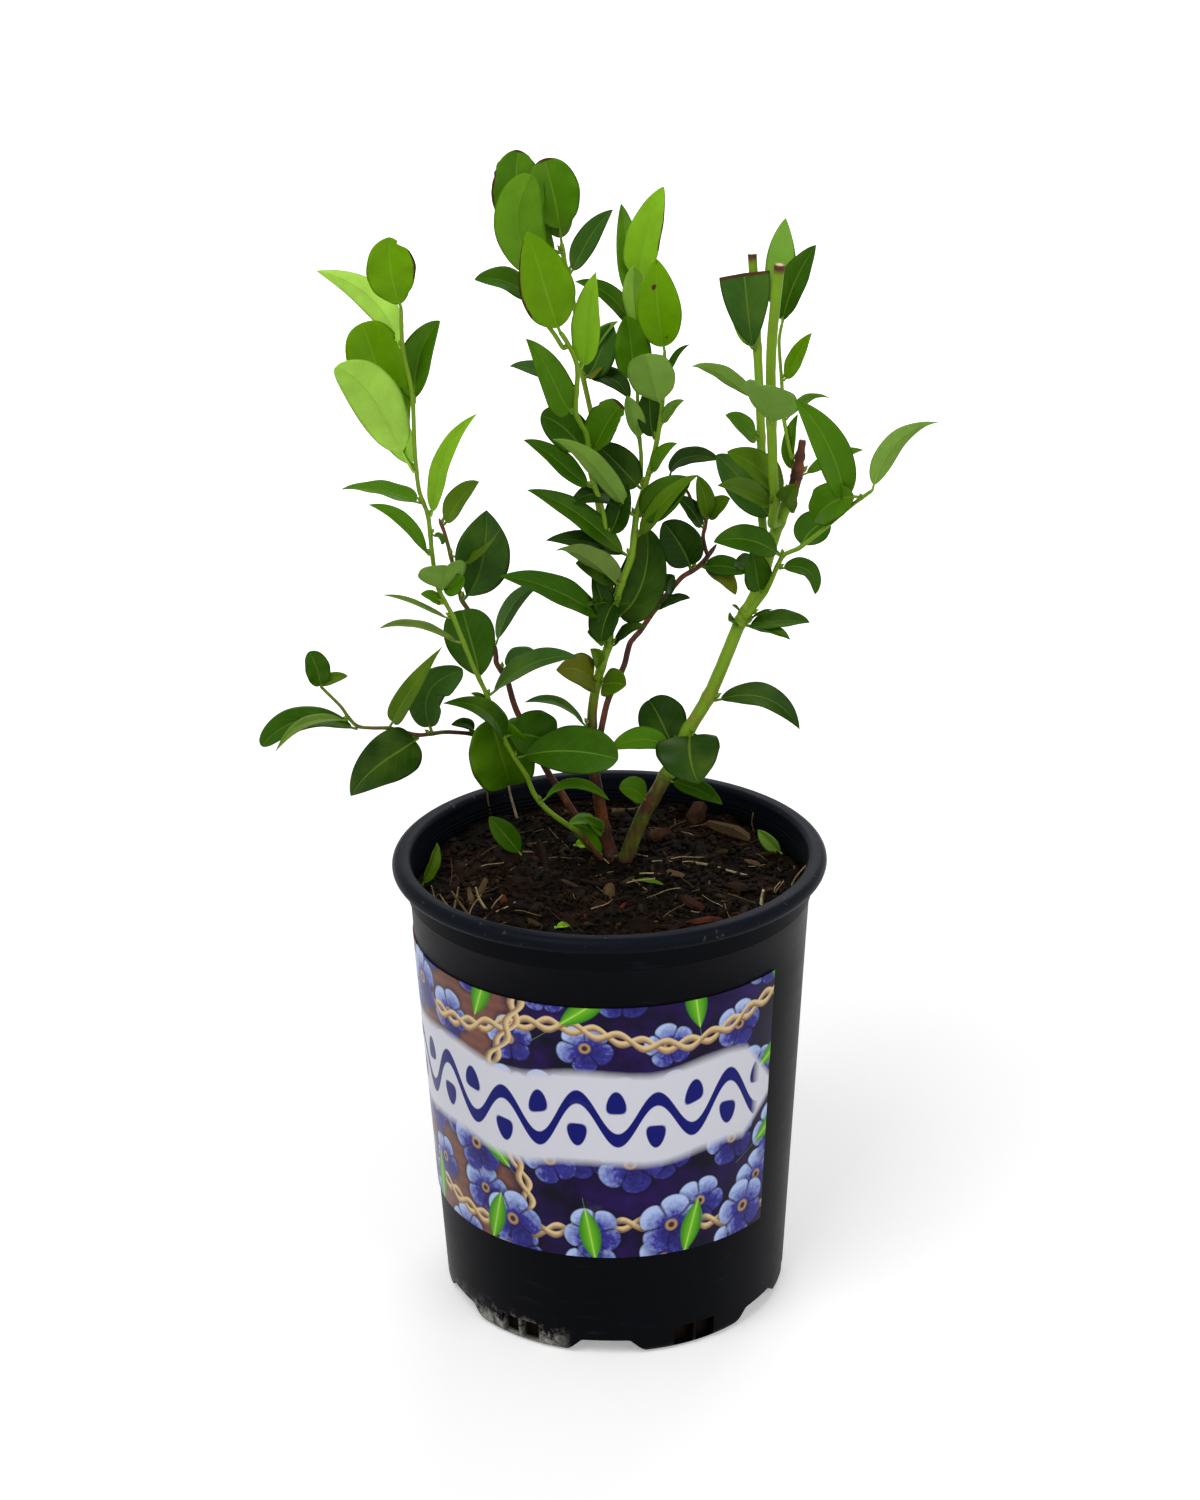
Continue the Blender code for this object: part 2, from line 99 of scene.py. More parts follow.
LABEL_BOTTOM = 46.0
LABEL_TOP = 156.0
LABEL_FROM_DEG = -109.0
LABEL_TO_DEG = 53.0
LABEL_THICK = 0.25
LABEL_LIFT = 0.3
LABEL_RIPPLE = 0.06
LABEL_ROWS = 24
LABEL_COLUMNS = 108

SOIL_TOP = 173.0
SOIL_EDGE = 170.5
SOIL_BANK = 4.5             # rise of the mix towards the back of the pot
SOIL_RADIUS = 77.0          # where the mix is at its edge's height
SOIL_BELOW_RIM = 8.0        # least depth of its surface under the rim
SOIL_STEPS = 240
SOIL_RINGS = 62
FIRST_RING = 0.8            # radii of the surface's innermost and outermost free rings
LAST_RING = 76.0
LUMP_HEIGHT = 2.6
LUMP_SCALE = 0.085          # lumps for each mm
GRIT_HEIGHT = 0.75
GRIT_SCALE = 0.45
CROWN_CENTRE = (3.0, 19.0, 166.0)
CROWN_RADIUS = 10.0
CHIP_RING = 6
CHIP_STATIONS = (-0.5, -0.42, -0.15, 0.15, 0.42, 0.5)      # shares of a chip's length
CHIP_SINK = 0.15            # part of a chip's thickness that lies in the mix
CHIP_SPREAD = 74.0          # farthest that a chip's middle lies from the pot's axis
CHIP_LIMIT = 75.5           # and its end
CROWN_CLEARANCE = 9.0       # no long chip has its middle nearer than this to the crown's
LONG_CHIP = 5.0
STRAW_SPREAD = 70.0         # farthest that a straw's foot lies from the pot's axis
STRAW_LIMIT = 73.0          # and its end

GAP = 0.3
LEAF_THICK = 0.30
PETIOLE_GAP = 0.45
PETIOLE_SHARE = 0.06        # part of a leaf's length that is its stalk
LEAF_CUP = 0.30
LEAF_BOW = 0.05
LINE_POINTS = 201           # points of a midrib's line
VEIN_PHASE = 6.6            # side veins along the blade's length
VEIN_SWEEP = 2.1            # veins that a side vein runs ahead from midrib to margin

STEM_SIDES = 14
NODE_SWELL = 0.13
NODE_LENGTH = 1.9
FAR = 99.0                  # from any node, on a stem that has none
COLLAR_SWELL = 0.18
COLLAR_POINTS = 6.0         # length of the collar at a stem's foot, in points of its line
BUD_PROFILE = (0.5, 0.95, 1.0, 0.75, 0.35, 0.06)
FRAYED = 11                 # rings of a broken end that are ragged
BROWNED = 8                 # rings that may be brown next to a pruned end
CUT_RINGS = (               # lift, share of the ring before, whiteness and age, on a pruned end
    (0.001, 1.0, 0.0, 1.0), (0.01, 0.80, 0.35, 0.8), (0.0325, 0.35, 1.0, 0.2),
    (0.0475, 0.05, 1.0, 0.2))

# The shoots and leaves are laid out in front elevation, on the upright sheet y = 0 as it is seen
# from EYE. A row (x, y, z) is the point at depth y that lies in line with (x, z) on that sheet.
EYE = Vector((-3.0, -1077.0, 655.0))
VIEW_PITCH_DEG = 21.6
VIEW_ROLL_DEG = 0.9
VIEW_LENS = 72.0

# ---------------------------------------------------------------- shoots and leaves
# Shoot: name, parent, reach (the number of a row, 0 for x or 2 for z, that says where a leaf stands
# on it), path in rows, radii at its foot and its end, large leaves.
Shoot = namedtuple("Shoot", "name parent reach path radii leaves")
# Leaf: foot by the shoot's reach, tip row, full width, turn (0 shows the upper face to EYE, 90 turns
# it upwards or towards its shoot, 180 shows the underside), arch (rise over the chord, as a share of
# the length), tone.
Leaf = namedtuple("Leaf", "foot tip width turn arch tone")
END = 999                   # foot of a leaf that grows from its shoot's very end

SHOOTS = [
    Shoot("left_cane", "root_crown", 2, [
        (-5, 13, 185), (-11, 12, 193), (-17, 11, 198), (-24, 10, 204), (-29, 9, 211),
        (-32, 7, 219), (-40, 4, 234), (-46, -2, 252), (-51, -6, 264), (-58, -11, 284),
        (-63, -15, 295), (-65, -19, 309), (-66, -23, 324), (-69, -26, 334), (-70, -32, 350),
        (-70, -37, 367), (-71, -40, 377), (-73, -44, 388), (-73, -49, 403)], (1.1, 0.72), [
        Leaf(END, (-76, -54, 429.2), 17.4, 5, -0.07, "bright"),
        Leaf(385.1, (-103.2, -10, 417.3), 11.5, 170, 0.12, "lime"),
        Leaf(338.2, (-97.8, -60, 381.8), 18.3, 175, 0.09, "lime"),
        Leaf(367.5, (-59, -22, 398.3), 12.5, 20, 0.1, "mid"),
        Leaf(324, (-46.6, -41, 363), 7.5, 20, 0.1, "fresh"),
        Leaf(328, (-97.9, -12, 335), 9, 50, 0.03, "mid"),
        Leaf(308.5, (-87.9, -32, 328.7), 6.8, 35, 0.1, "mid"),
        Leaf(257.7, (-54.4, 9, 286.6), 19.5, 5, 0, "deep"),
        Leaf(248, (-11.2, -19, 267.1), 11, 45, 0.08, "blue"),
        Leaf(234.6, (-62.7, -30, 248.8), 10, 25, 0.13, "deep"),
        Leaf(242.8, (-38.1, 21, 214.6), 25, 0, 0, "mid"),
        Leaf(236.3, (-20.3, 18, 231.4), 20, 5, 0.04, "deep"),
        Leaf(226, (3.9, -19, 224.7), 19, 10, 0.05, "deep")]),
    Shoot("back_cane", "root_crown", 2, [
        (-9, 24, 188), (-15, 26, 205), (-24, 29, 221), (-35, 35, 246), (-38, 39, 258),
        (-42, 41, 265), (-43, 43, 272), (-53, 49, 288), (-55, 51, 293), (-58, 56, 308),
        (-60, 59, 317), (-62, 61, 323)], (1.6, 0.7), [
        Leaf(291, (-44.1, 44, 325.8), 22, 5, -0.07, "blue")]),
    Shoot("low_side_twig", "back_cane", 0, [
        (-31, 31, 234), (-41, 23, 233), (-52, 14, 236), (-63, 7, 237), (-73, 1, 236),
        (-84, -3, 239), (-96, -10, 240), (-102, -15, 248), (-109, -20, 256)], (1.0, 0.6), [
        Leaf(-84.8, (-62.7, -13, 271.8), 8.8, 25, 0, "olive"),
        Leaf(-66.4, (-54.9, -4, 262.4), 15, 5, 0.24, "blue"),
        Leaf(END, (-113.3, -24, 270.6), 9.6, 10, 0.05, "deep"),
        Leaf(-97, (-133.4, -36, 232.4), 11, 35, 0.17, "deep"),
        Leaf(-74, (-100, -24, 211.1), 19.5, 0, 0.08, "dark")]),
    Shoot("main_cane", "root_crown", 2, [
        (0, 22, 187), (-2, 21, 196), (-4, 19, 210), (-6, 18, 225), (-6, 17, 239), (-5, 17, 250),
        (-2, 16, 263), (1, 16, 272), (2, 16, 282), (6, 16, 296), (10, 15, 307), (12, 15, 323),
        (15, 15, 333), (17, 15, 340), (20, 14, 352), (22, 14, 366), (23, 14, 385)],
        (2.8, 0.75), [
        Leaf(281, (-39.7, -8, 299.8), 12, 30, 0.04, "deep"),
        Leaf(295.1, (-18.4, -18, 309.8), 11, 140, 0.05, "dusty"),
        Leaf(284.3, (16, 22, 317.5), 19, 5, -0.12, "dark"),
        Leaf(325.4, (-18.7, -27, 352.9), 9, 150, 0.05, "sage"),
        Leaf(364.1, (15.7, -10, 384.5), 17.5, 170, 0, "sage"),
        Leaf(END, (20.4, 6, 419.7), 16.5, 5, -0.04, "bright")]),
    Shoot("main_cane_fork", "main_cane", 2, [
        (15, 15, 337), (14, 18, 346), (13, 20, 360), (13, 22, 375), (14, 25, 392),
        (14, 29, 411)], (0.9, 0.6), [
        Leaf(END, (23, 30, 446), 14, 20, 0.02, "fresh")]),
    Shoot("front_shoot", "main_cane", 2, [
        (2, 15, 287), (0, 14, 298), (0, 12, 310), (0, 10, 321), (-2, 8, 330), (-5, 5, 340),
        (-6, 0, 354), (-10, -6, 363), (-9, -15, 379), (-12, -22, 388), (-15, -26, 393)],
        (1.1, 0.9), [
        Leaf(336, (-29.4, -4, 352.8), 9.5, 30, 0.03, "deep"),
        Leaf(346.1, (7.1, 5, 365.9), 12.5, 25, 0.04, "mid"),
        Leaf(364, (-27.6, -26, 390.9), 13, 20, 0.03, "mid"),
        Leaf(379, (-1.8, -32, 415.2), 11, 15, 0.02, "fresh"),
        Leaf(END, (-26.3, -40, 430.4), 19.5, 5, 0, "bright")]),
    Shoot("top_shoot", "main_cane", 2, [
        (4, 18, 290), (1, 29, 308), (-2, 38, 325), (-4, 44, 343), (-4, 48, 360), (-7, 51, 376),
        (-8, 55, 391), (-11, 59, 409), (-13, 62, 419), (-14, 64, 426)], (1.2, 0.9), [
        Leaf(END, (-19.8, 64, 456.7), 20, 5, 0.02, "mid"),
        Leaf(421, (-28.6, 66, 459.9), 21, 10, -0.17, "mid"),
        Leaf(405.5, (-24.5, 44, 450.9), 19.5, 170, -0.24, "bright")]),
    Shoot("woody_branch", "main_cane", 2, [
        (-5, 20, 228), (-3, 25, 234), (0, 31, 248), (4, 36, 257), (7, 40, 264), (9, 44, 272),
        (13, 49, 277), (19, 55, 286), (27, 62, 296), (30, 64, 299), (36, 67, 303),
        (42, 73, 311)], (1.4, 1.0), [
        Leaf(300, (22, 60, 320), 17, 5, 0.04, "dark")]),
    Shoot("right_cane", "root_crown", 2, [
        (8, 15, 186), (13, 15, 200), (20, 15, 213), (24, 16, 221), (31, 15, 236), (39, 15, 250),
        (46, 14, 267), (51, 14, 280), (55, 14, 287), (58, 14, 294), (61, 14, 304), (64, 14, 315),
        (67, 14, 323), (70, 14, 330), (72, 13, 338), (74, 14, 351)], (3.0, 2.15), [
        Leaf(236, (35, -13, 214), 25, 0, -0.06, "dark"),
        Leaf(227, (16, 29, 249), 19, 5, 0.03, "dark"),
        Leaf(249, (74, -4, 236), 11, 30, 0.18, "dark")]),
    Shoot("pruned_stem_left", "right_cane", 2, [
        (60, 18, 299), (60, 21, 311), (59, 21, 323), (59, 20, 338), (58, 20, 367),
        (57, 21, 386), (55, 24, 421)], (1.6, 1.7), [
        Leaf(384, (51, 16, 422), 19, 5, 0.0, "blue")]),
    Shoot("pruned_stem_right", "right_cane", 2, [
        (66, 10, 318), (64, 7, 328), (63, 4, 341), (62, 0, 377), (63, -2, 397), (65, -5, 417)],
        (1.8, 2.0), [
        Leaf(325, (42.6, -24, 334.1), 9.5, 30, 0.02, "olive"),
        Leaf(365.7, (58.8, -44, 372.2), 20, 150, 0, "sage")]),
    Shoot("right_side_branch", "right_cane", 0, [
        (54, 13, 283), (60, 6, 291), (63, 0, 297), (67, -6, 306), (73, -12, 309), (83, -22, 317),
        (92, -33, 325), (100, -44, 331)], (1.1, 0.7), [
        Leaf(END, (124.2, -62, 357.2), 8, 160, 0.13, "sage"),
        Leaf(91.5, (71, -45, 366.4), 13.5, 15, 0.07, "mid"),
        Leaf(67, (41, -15, 312), 12, 25, 0.10, "deep")]),
]

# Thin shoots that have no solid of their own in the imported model.
TWIGS = [
    Shoot("woody_twig", "woody_branch", 2, [
        (38, 67, 307), (37, 67, 314), (38, 68, 321), (34, 69, 325), (31, 70, 332),
        (25, 71, 338)], (0.9, 0.6), []),
    Shoot("front_twig", "front_shoot", 2, [
        (-12, -22, 386), (-17, -25, 392), (-24, -28, 402)], (0.95, 0.75), []),
    Shoot("petiole_shoot", "right_cane", 2, [
        (68, 18, 345), (67, 18, 359), (66, 18, 374), (65, 17, 388), (66, 16, 395)], (0.8, 0.6), []),
]

# Smaller and half-hidden leaves of each shoot.
SMALL_LEAVES = {
    "left_cane": [
        Leaf(340.3, (-87.6, -38, 397.9), 21, 10, 0, "bright"),
        Leaf(317.6, (-61, -23, 312.6), 4.5, 60, 0.2, "deep"),
        Leaf(293.9, (-59.5, -27, 304.5), 18.5, 155, 0, "sage"),
        Leaf(292.7, (-53.3, -19, 299.7), 8, 10, -0.05, "mid"),
        Leaf(290.6, (-69.8, -18, 293.1), 5, 30, 0.1, "mid"),
        Leaf(286.8, (-83.9, -20, 293.2), 3.5, 50, 0.02, "dusty"),
        Leaf(270.6, (-86.1, -23, 279.9), 6.5, 60, 0.07, "dusty"),
        Leaf(243, (-52, -4, 253), 5, 50, 0.1, "deep"),
        Leaf(208.5, (0.2, -5, 207.6), 5.5, 40, 0.17, "mid")],
    "back_cane": [
        Leaf(323.8, (-46.6, 58, 337), 11, 40, 0.04, "olive"),
        Leaf(273, (-21.6, 34, 297.5), 7.5, 150, 0.12, "blue"),
        Leaf(260, (-26, 38, 264.7), 9, 50, 0.25, "blue"),
        Leaf(304.6, (-39.2, 20, 318.9), 7, 60, -0.16, "olive")],
    "low_side_twig": [
        Leaf(END, (-98.9, -19, 260.6), 4.5, 10, 0.1, "olive"),
        Leaf(-52, (-60, 7, 240), 5, 30, 0.1, "dark"),
        Leaf(-99, (-128, -44, 230.2), 4.5, 20, 0.14, "dusty")],
    "main_cane": [
        Leaf(241.5, (-31.5, 2, 248.9), 6, 50, 0.12, "blue"),
        Leaf(259.4, (-19.1, -6, 261.7), 14, 20, 0.1, "russet"),
        Leaf(256.6, (7.3, 6, 255.2), 12, 20, 0.05, "olive"),
        Leaf(258.2, (-10.3, 6, 255.9), 8.5, 20, 0, "russet"),
        Leaf(270, (-7, 10, 277), 7, 30, 0.1, "olive"),
        Leaf(264, (-6, 8, 270), 6, 30, 0.1, "olive"),
        Leaf(283, (-5, 12, 299), 9, 20, 0.05, "dark"),
        Leaf(288, (-2, 8, 273), 12, 20, 0.05, "dark"),
        Leaf(270, (15, 10, 279), 6, 45, 0.1, "dark"),
        Leaf(286, (-11, 6, 286), 3, 60, 0, "deep"),
        Leaf(286, (10, 6, 288), 3, 60, 0, "deep"),
        Leaf(309, (-22, 6, 313.7), 8.5, 30, 0.05, "dark"),
        Leaf(295, (-11, 4, 304.5), 11, 20, 0.05, "dark"),
        Leaf(310.3, (-28.6, -2, 333.5), 11, 30, 0.05, "deep"),
        Leaf(323.1, (-12.8, 4, 327.6), 11, 40, 0.2, "dark"),
        Leaf(311.5, (35.1, 2, 338.2), 8.5, 30, 0.06, "olive"),
        Leaf(333.7, (-2.7, 16, 350.3), 13.5, 10, 0.03, "dark"),
        Leaf(349, (17, 18, 372), 10, 5, 0, "dark"),
        Leaf(341.9, (27.3, 8, 350.6), 6, 30, 0.1, "mid"),
        Leaf(360, (30, 8, 367), 5, 30, 0.1, "sage"),
        Leaf(382, (32, 14, 388), 3.5, 40, 0.1, "deep"),
        Leaf(320.7, (32.6, 4, 336.7), 14, 10, 0.05, "deep"),
        Leaf(184, (-16.2, -14, 197.3), 7, 45, 0.06, "mid"),
        Leaf(185.4, (-10, -8, 200.7), 6, 20, 0, "mid")],
    "main_cane_fork": [
        Leaf(352, (9, 11, 369), 8, 150, 0, "sage"),
        Leaf(372, (9, 18, 399), 14, 5, 0.02, "mid"),
        Leaf(393.5, (12.2, 11, 417.4), 11, 160, -0.04, "fresh"),
        Leaf(395.9, (-9.4, 28, 412), 8.5, 30, 0.14, "deep"),
        Leaf(421, (7.7, 44, 440.2), 9.5, 10, 0, "mid")],
    "front_shoot": [
        Leaf(318, (9, 9, 335), 10, 10, 0, "dark"),
        Leaf(350, (-23, 8, 362), 15, 10, 0.1, "deep"),
        Leaf(372, (-34, -3, 381), 8, 40, 0.05, "blue")],
    "front_twig": [
        Leaf(END, (-45.9, -34, 413.3), 11, 40, 0.12, "deep")],
    "top_shoot": [
        Leaf(413.3, (4.7, 54, 438), 9.5, 20, 0.05, "blue"),
        Leaf(377, (4, 45, 396), 13, 5, 0, "blue"),
        Leaf(374, (10, 42, 368), 9, 30, 0.15, "dark"),
        Leaf(378, (1.4, 47, 382.7), 8, 30, 0.05, "russet"),
        Leaf(386, (6, 44, 397), 6, 30, 0.05, "sage")],
    "woody_branch": [
        Leaf(286, (32, 50, 290), 6, 50, 0.05, "dark"),
        Leaf(285, (16, 50, 298), 8, 30, 0.05, "dark"),
        Leaf(290, (26, 53, 299), 8, 30, 0.05, "dark"),
        Leaf(303, (52.5, 61, 299.2), 9, 20, 0.1, "deep"),
        Leaf(302, (49.2, 59, 290.9), 8, 30, 0.1, "russet")],
    "woody_twig": [
        Leaf(321, (35, 64, 338), 8, 20, 0.03, "olive"),
        Leaf(321, (47, 62, 329), 8, 30, 0.05, "olive"),
        Leaf(END, (43, 64, 344), 9, 40, 0.15, "dark"),
        Leaf(318, (27, 60, 330), 8, 30, 0.05, "dark")],
    "right_cane": [
        Leaf(208.6, (4.3, 6, 212.6), 10.5, 20, 0.1, "mid"),
        Leaf(216, (44.3, -3, 205), 8, 20, 0.04, "deep"),
        Leaf(231.8, (1.2, 11, 228.9), 9.5, 20, 0.12, "mid"),
        Leaf(278.8, (77.4, 7, 279.5), 9.5, 40, 0.03, "deep"),
        Leaf(278.8, (70.1, 3, 272.7), 6, 40, 0.05, "deep"),
        Leaf(279.2, (46.7, 9, 280.8), 7, 50, 0, "deep"),
        Leaf(284, (48, 11, 287), 2, 50, 0, "deep"),
        Leaf(283, (63, 9, 285), 2, 50, 0, "deep"),
        Leaf(300, (49, 20, 304), 9, 30, 0.05, "dark"),
        Leaf(318, (42, 24, 346), 15, 10, 0.03, "blue"),
        Leaf(330, (46, 5, 347), 13, 30, 0.05, "olive"),
        Leaf(340.3, (96.6, 17, 347), 6, 30, 0.05, "mid"),
        Leaf(338, (72, 19, 361), 6, 30, 0.05, "mid"),
        Leaf(327.7, (72.1, -10, 334), 10, 20, 0, "olive")],
    "pruned_stem_left": [
        Leaf(353.8, (45.5, 6, 361.1), 9.5, 40, 0, "mid"),
        Leaf(360.5, (32.9, 1, 379.9), 7.5, 140, 0.06, "sage"),
        Leaf(383, (45, 27, 410), 8, 20, 0.03, "fresh")],
    "petiole_shoot": [
        Leaf(370.8, (76.9, 10, 391.5), 6.5, 15, 0.03, "bright"),
        Leaf(END, (71, 22, 413), 9, 20, 0.03, "dark"),
        Leaf(END, (78, 16, 424), 11, 20, 0.03, "deep"),
        Leaf(END, (67, 26, 434), 12, 10, 0.02, "sage"),
        Leaf(362.2, (83.6, 6, 367.2), 4.5, 140, 0.12, "mid")],
    "right_side_branch": [
        Leaf(60, (55, 0, 308), 11, 5, 0.03, "deep"),
        Leaf(64.7, (79.5, -5, 290.6), 8.5, 40, 0.3, "deep"),
        Leaf(72.3, (84.7, -3, 319.2), 13, 10, 0.12, "deep"),
        Leaf(100.5, (78.6, -20, 319.7), 14.5, 10, 0.06, "mid")],
}

# Leaves that fill the bush behind the large ones.
BACK_LEAST_WIDTH = 12.0     # narrower leaves get none behind them
BACK_DEPTHS = (9.0, 16.0)
BACK_SHARE = 0.74           # width against the large leaf in front

WOODY_SHOOTS = ("woody_branch", "back_cane", "low_side_twig", "woody_twig")
CUT_SHOOTS = ("pruned_stem_left", "pruned_stem_right")
BROKEN_SHOOTS = ("right_cane",)

# How brown each shoot is at shares of its length: (share, 0 green to 1 brown).
AGEING = {
    "left_cane": ((0, 1.0), (0.06, 0.85), (0.12, 0.20), (0.18, 0.0), (1, 0.0)),
    "back_cane": ((0, 1.0), (0.5, 0.85), (1, 0.55)),
    "low_side_twig": ((0, 0.85), (0.5, 0.7), (1, 0.35)),
    "main_cane": ((0, 1.0), (0.25, 0.95), (0.33, 0.35), (0.43, 0.08), (1, 0.0)),
    "main_cane_fork": ((0, 0.25), (1, 0.0)),
    "front_shoot": ((0, 0.12), (1, 0.0)),
    "top_shoot": ((0, 0.55), (0.5, 0.35), (1, 0.05)),
    "woody_branch": ((0, 1.0), (1, 0.9)),
    "woody_twig": ((0, 0.9), (1, 0.6)),
    "right_cane": ((0, 1.0), (0.04, 0.8), (0.08, 0.6), (0.14, 0.74), (0.20, 0.5), (0.28, 0.3),
                   (0.5, 0.16), (0.80, 0.03), (0.86, 0.1), (0.885, 1.0), (1, 1.0)),
}

# What makes one leaf unlike the rest. Places are shares of the blade from stalk to tip.
#   form: powers that shape the base and the tip      stalk: part of the length that is stalk
#   fold: cup on top of the usual one                 cut: where the blade is cut off
#   ragged: roughness of the margin near the tip      bite: place, depth, half length and side
#   burnt_tip: where the brown begins                 burnt_edge: side, from, to
#   spots: (place, share across, radius in mm) of each brown spot
QUIRKS = {
    "left_cane_leaf_1": {"form": (0.85, 0.60), "bite": (0.93, 0.45, 0.035, 1),
                         "burnt_edge": (1, 0.35, 0.85)},
    "left_cane_leaf_3": {"form": (0.52, 0.58), "stalk": 0.20},
    "left_cane_leaf_4": {"fold": 0.30, "form": (0.55, 0.80)},
    "left_cane_leaf_6": {"form": (0.40, 0.90)},
    "left_cane_leaf_8": {"form": (0.75, 0.42), "stalk": 0.04},
    "left_cane_leaf_10": {"form": (0.38, 0.85)},
    "left_cane_leaf_11": {"form": (0.50, 0.40)},
    "left_cane_leaf_12": {"form": (0.50, 0.50)},
    "left_cane_leaf_13": {"form": (0.95, 0.50)},
    "left_cane_small_0": {"form": (1.0, 0.38), "stalk": 0.14},
    "back_cane_leaf_1": {"form": (1.15, 0.90), "stalk": 0.04},
    "low_side_twig_leaf_1": {"form": (0.35, 1.0)},
    "low_side_twig_leaf_3": {"form": (0.50, 0.45)},
    "low_side_twig_leaf_2": {"form": (0.45, 0.45), "bite": (0.55, 0.55, 0.13, 1)},
    "low_side_twig_leaf_4": {"form": (0.60, 0.42)},
    "low_side_twig_leaf_5": {"form": (0.45, 0.80)},
    "main_cane_leaf_2": {"form": (0.32, 0.85), "stalk": 0.05},
    "main_cane_leaf_3": {"form": (0.45, 0.60)},
    "main_cane_leaf_6": {"spots": ((0.72, -0.15, 1.3), (0.97, 0.0, 0.9), (0.12, 0.3, 0.8))},
    "main_cane_fork_leaf_1": {"burnt_edge": (1, 0.35, 1.0), "form": (0.42, 0.75)},
    "top_shoot_leaf_1": {"burnt_tip": 0.97, "form": (0.60, 0.50), "stalk": 0.18},
    "top_shoot_leaf_2": {"burnt_tip": 0.98, "burnt_edge": (-1, 0.40, 0.74), "ragged": 0.10,
                         "form": (0.50, 0.55), "stalk": 0.36},
    "top_shoot_leaf_3": {"form": (0.50, 0.48), "stalk": 0.24},
    "front_shoot_leaf_2": {"fold": 0.35, "burnt_tip": 0.95, "ragged": 0.12, "form": (0.45, 0.40)},
    "front_shoot_leaf_3": {"form": (0.45, 0.80)},
    "front_shoot_leaf_5": {"burnt_edge": (-1, 0.25, 0.95), "form": (0.72, 0.82)},
    "right_cane_leaf_1": {"form": (0.45, 0.65)},
    "right_side_branch_leaf_1": {"form": (0.55, 1.1)},
    "right_side_branch_leaf_2": {"form": (0.60, 0.80)},
    "pruned_stem_left_leaf_1": {"cut": 0.80, "burnt_tip": 0.965, "form": (1.0, 0.30)},
}

# Single things that lie or stand on the mix. Places are (x, z) on the elevation sheet: a foot is
# where the sight line through that place meets the mix, and so is a tip whose lean is None; other
# tips stand at the foot's depth plus lean mm.
FALLEN_LEAVES = [           # foot, tip, lean, width, direction of the upper face, tone
    ((-34.7, 184.5), (-46.6, 200.6), 4, 9.5, (0.25, -0.9, 0.3), "deep"),
    ((67.3, 183.2), (58.1, 193.3), 3, 6.0, (-0.3, -0.9, 0.3), "sage"),
    ((-73.8, 171.6), (-67.1, 189.9), 6, 6.5, (0.7, -0.6, 0.3), "olive"),
    ((-13.3, 187.9), (-8.1, 187.9), None, 5, (0.0, -0.45, 0.9), "fresh"),
    ((9.6, 172.6), (21.7, 170.2), None, 2.6, (0.0, -0.3, 0.95), "olive"),
    ((-2.7, 183.6), (-16.2, 197.3), -5, 7.5, (0.3, -0.7, 0.6), "mid"),
    ((-6.6, 190), (-9.3, 200.7), -2, 7, (0.0, -0.9, 0.4), "mid"),
    ((-21.5, 152.6), (-16, 153.3), None, 3, (0.0, -0.6, 0.8), "fresh"),
]
BIG_CHIPS = [               # place, (length, width, thickness), heading, tilt, kind
    ((33.8, 198.4), (15, 9, 11), 1.2, -0.2, "brown"),
    ((46.5, 192.1), (24, 7.5, 6.5), -0.75, 0.05, "wood"),
    ((32.6, 162.2), (13, 6, 3), -0.9, 0.1, "red"),
    ((-25.3, 179.8), (30, 4.5, 4.5), 1.75, -0.35, "red"),
    ((25.7, 175.5), (8, 5.5, 1.6), -0.6, 0.1, "wood"),
    ((56.4, 179.4), (9, 3.2, 2), -0.6, 0.1, "wood"),
    ((24.7, 182.3), (6, 2.5, 1.5), 0.5, 0.2, "wood"),
    ((36.6, 154.4), (15, 5, 3), 0.2, 0.0, "red"),
    ((-42.3, 164.1), (8, 3, 2), 1.5, -0.5, "red"),
    ((-0.3, 167.4), (9, 5, 3), 1.4, -0.6, "wood"),
    ((-50.5, 168.2), (13, 4, 3), 1.3, -0.7, "wood"),
    ((-54.2, 165.3), (12, 3, 2), 1.8, -0.6, "wood"),
    ((19.3, 191), (11, 7, 6), 0.9, 0.1, "brown"),
    ((50.2, 168.5), (11, 6, 4), -0.3, 0.1, "dark"),
    ((-61.1, 177.4), (11, 6, 5), -0.4, 0.1, "dark"),
]
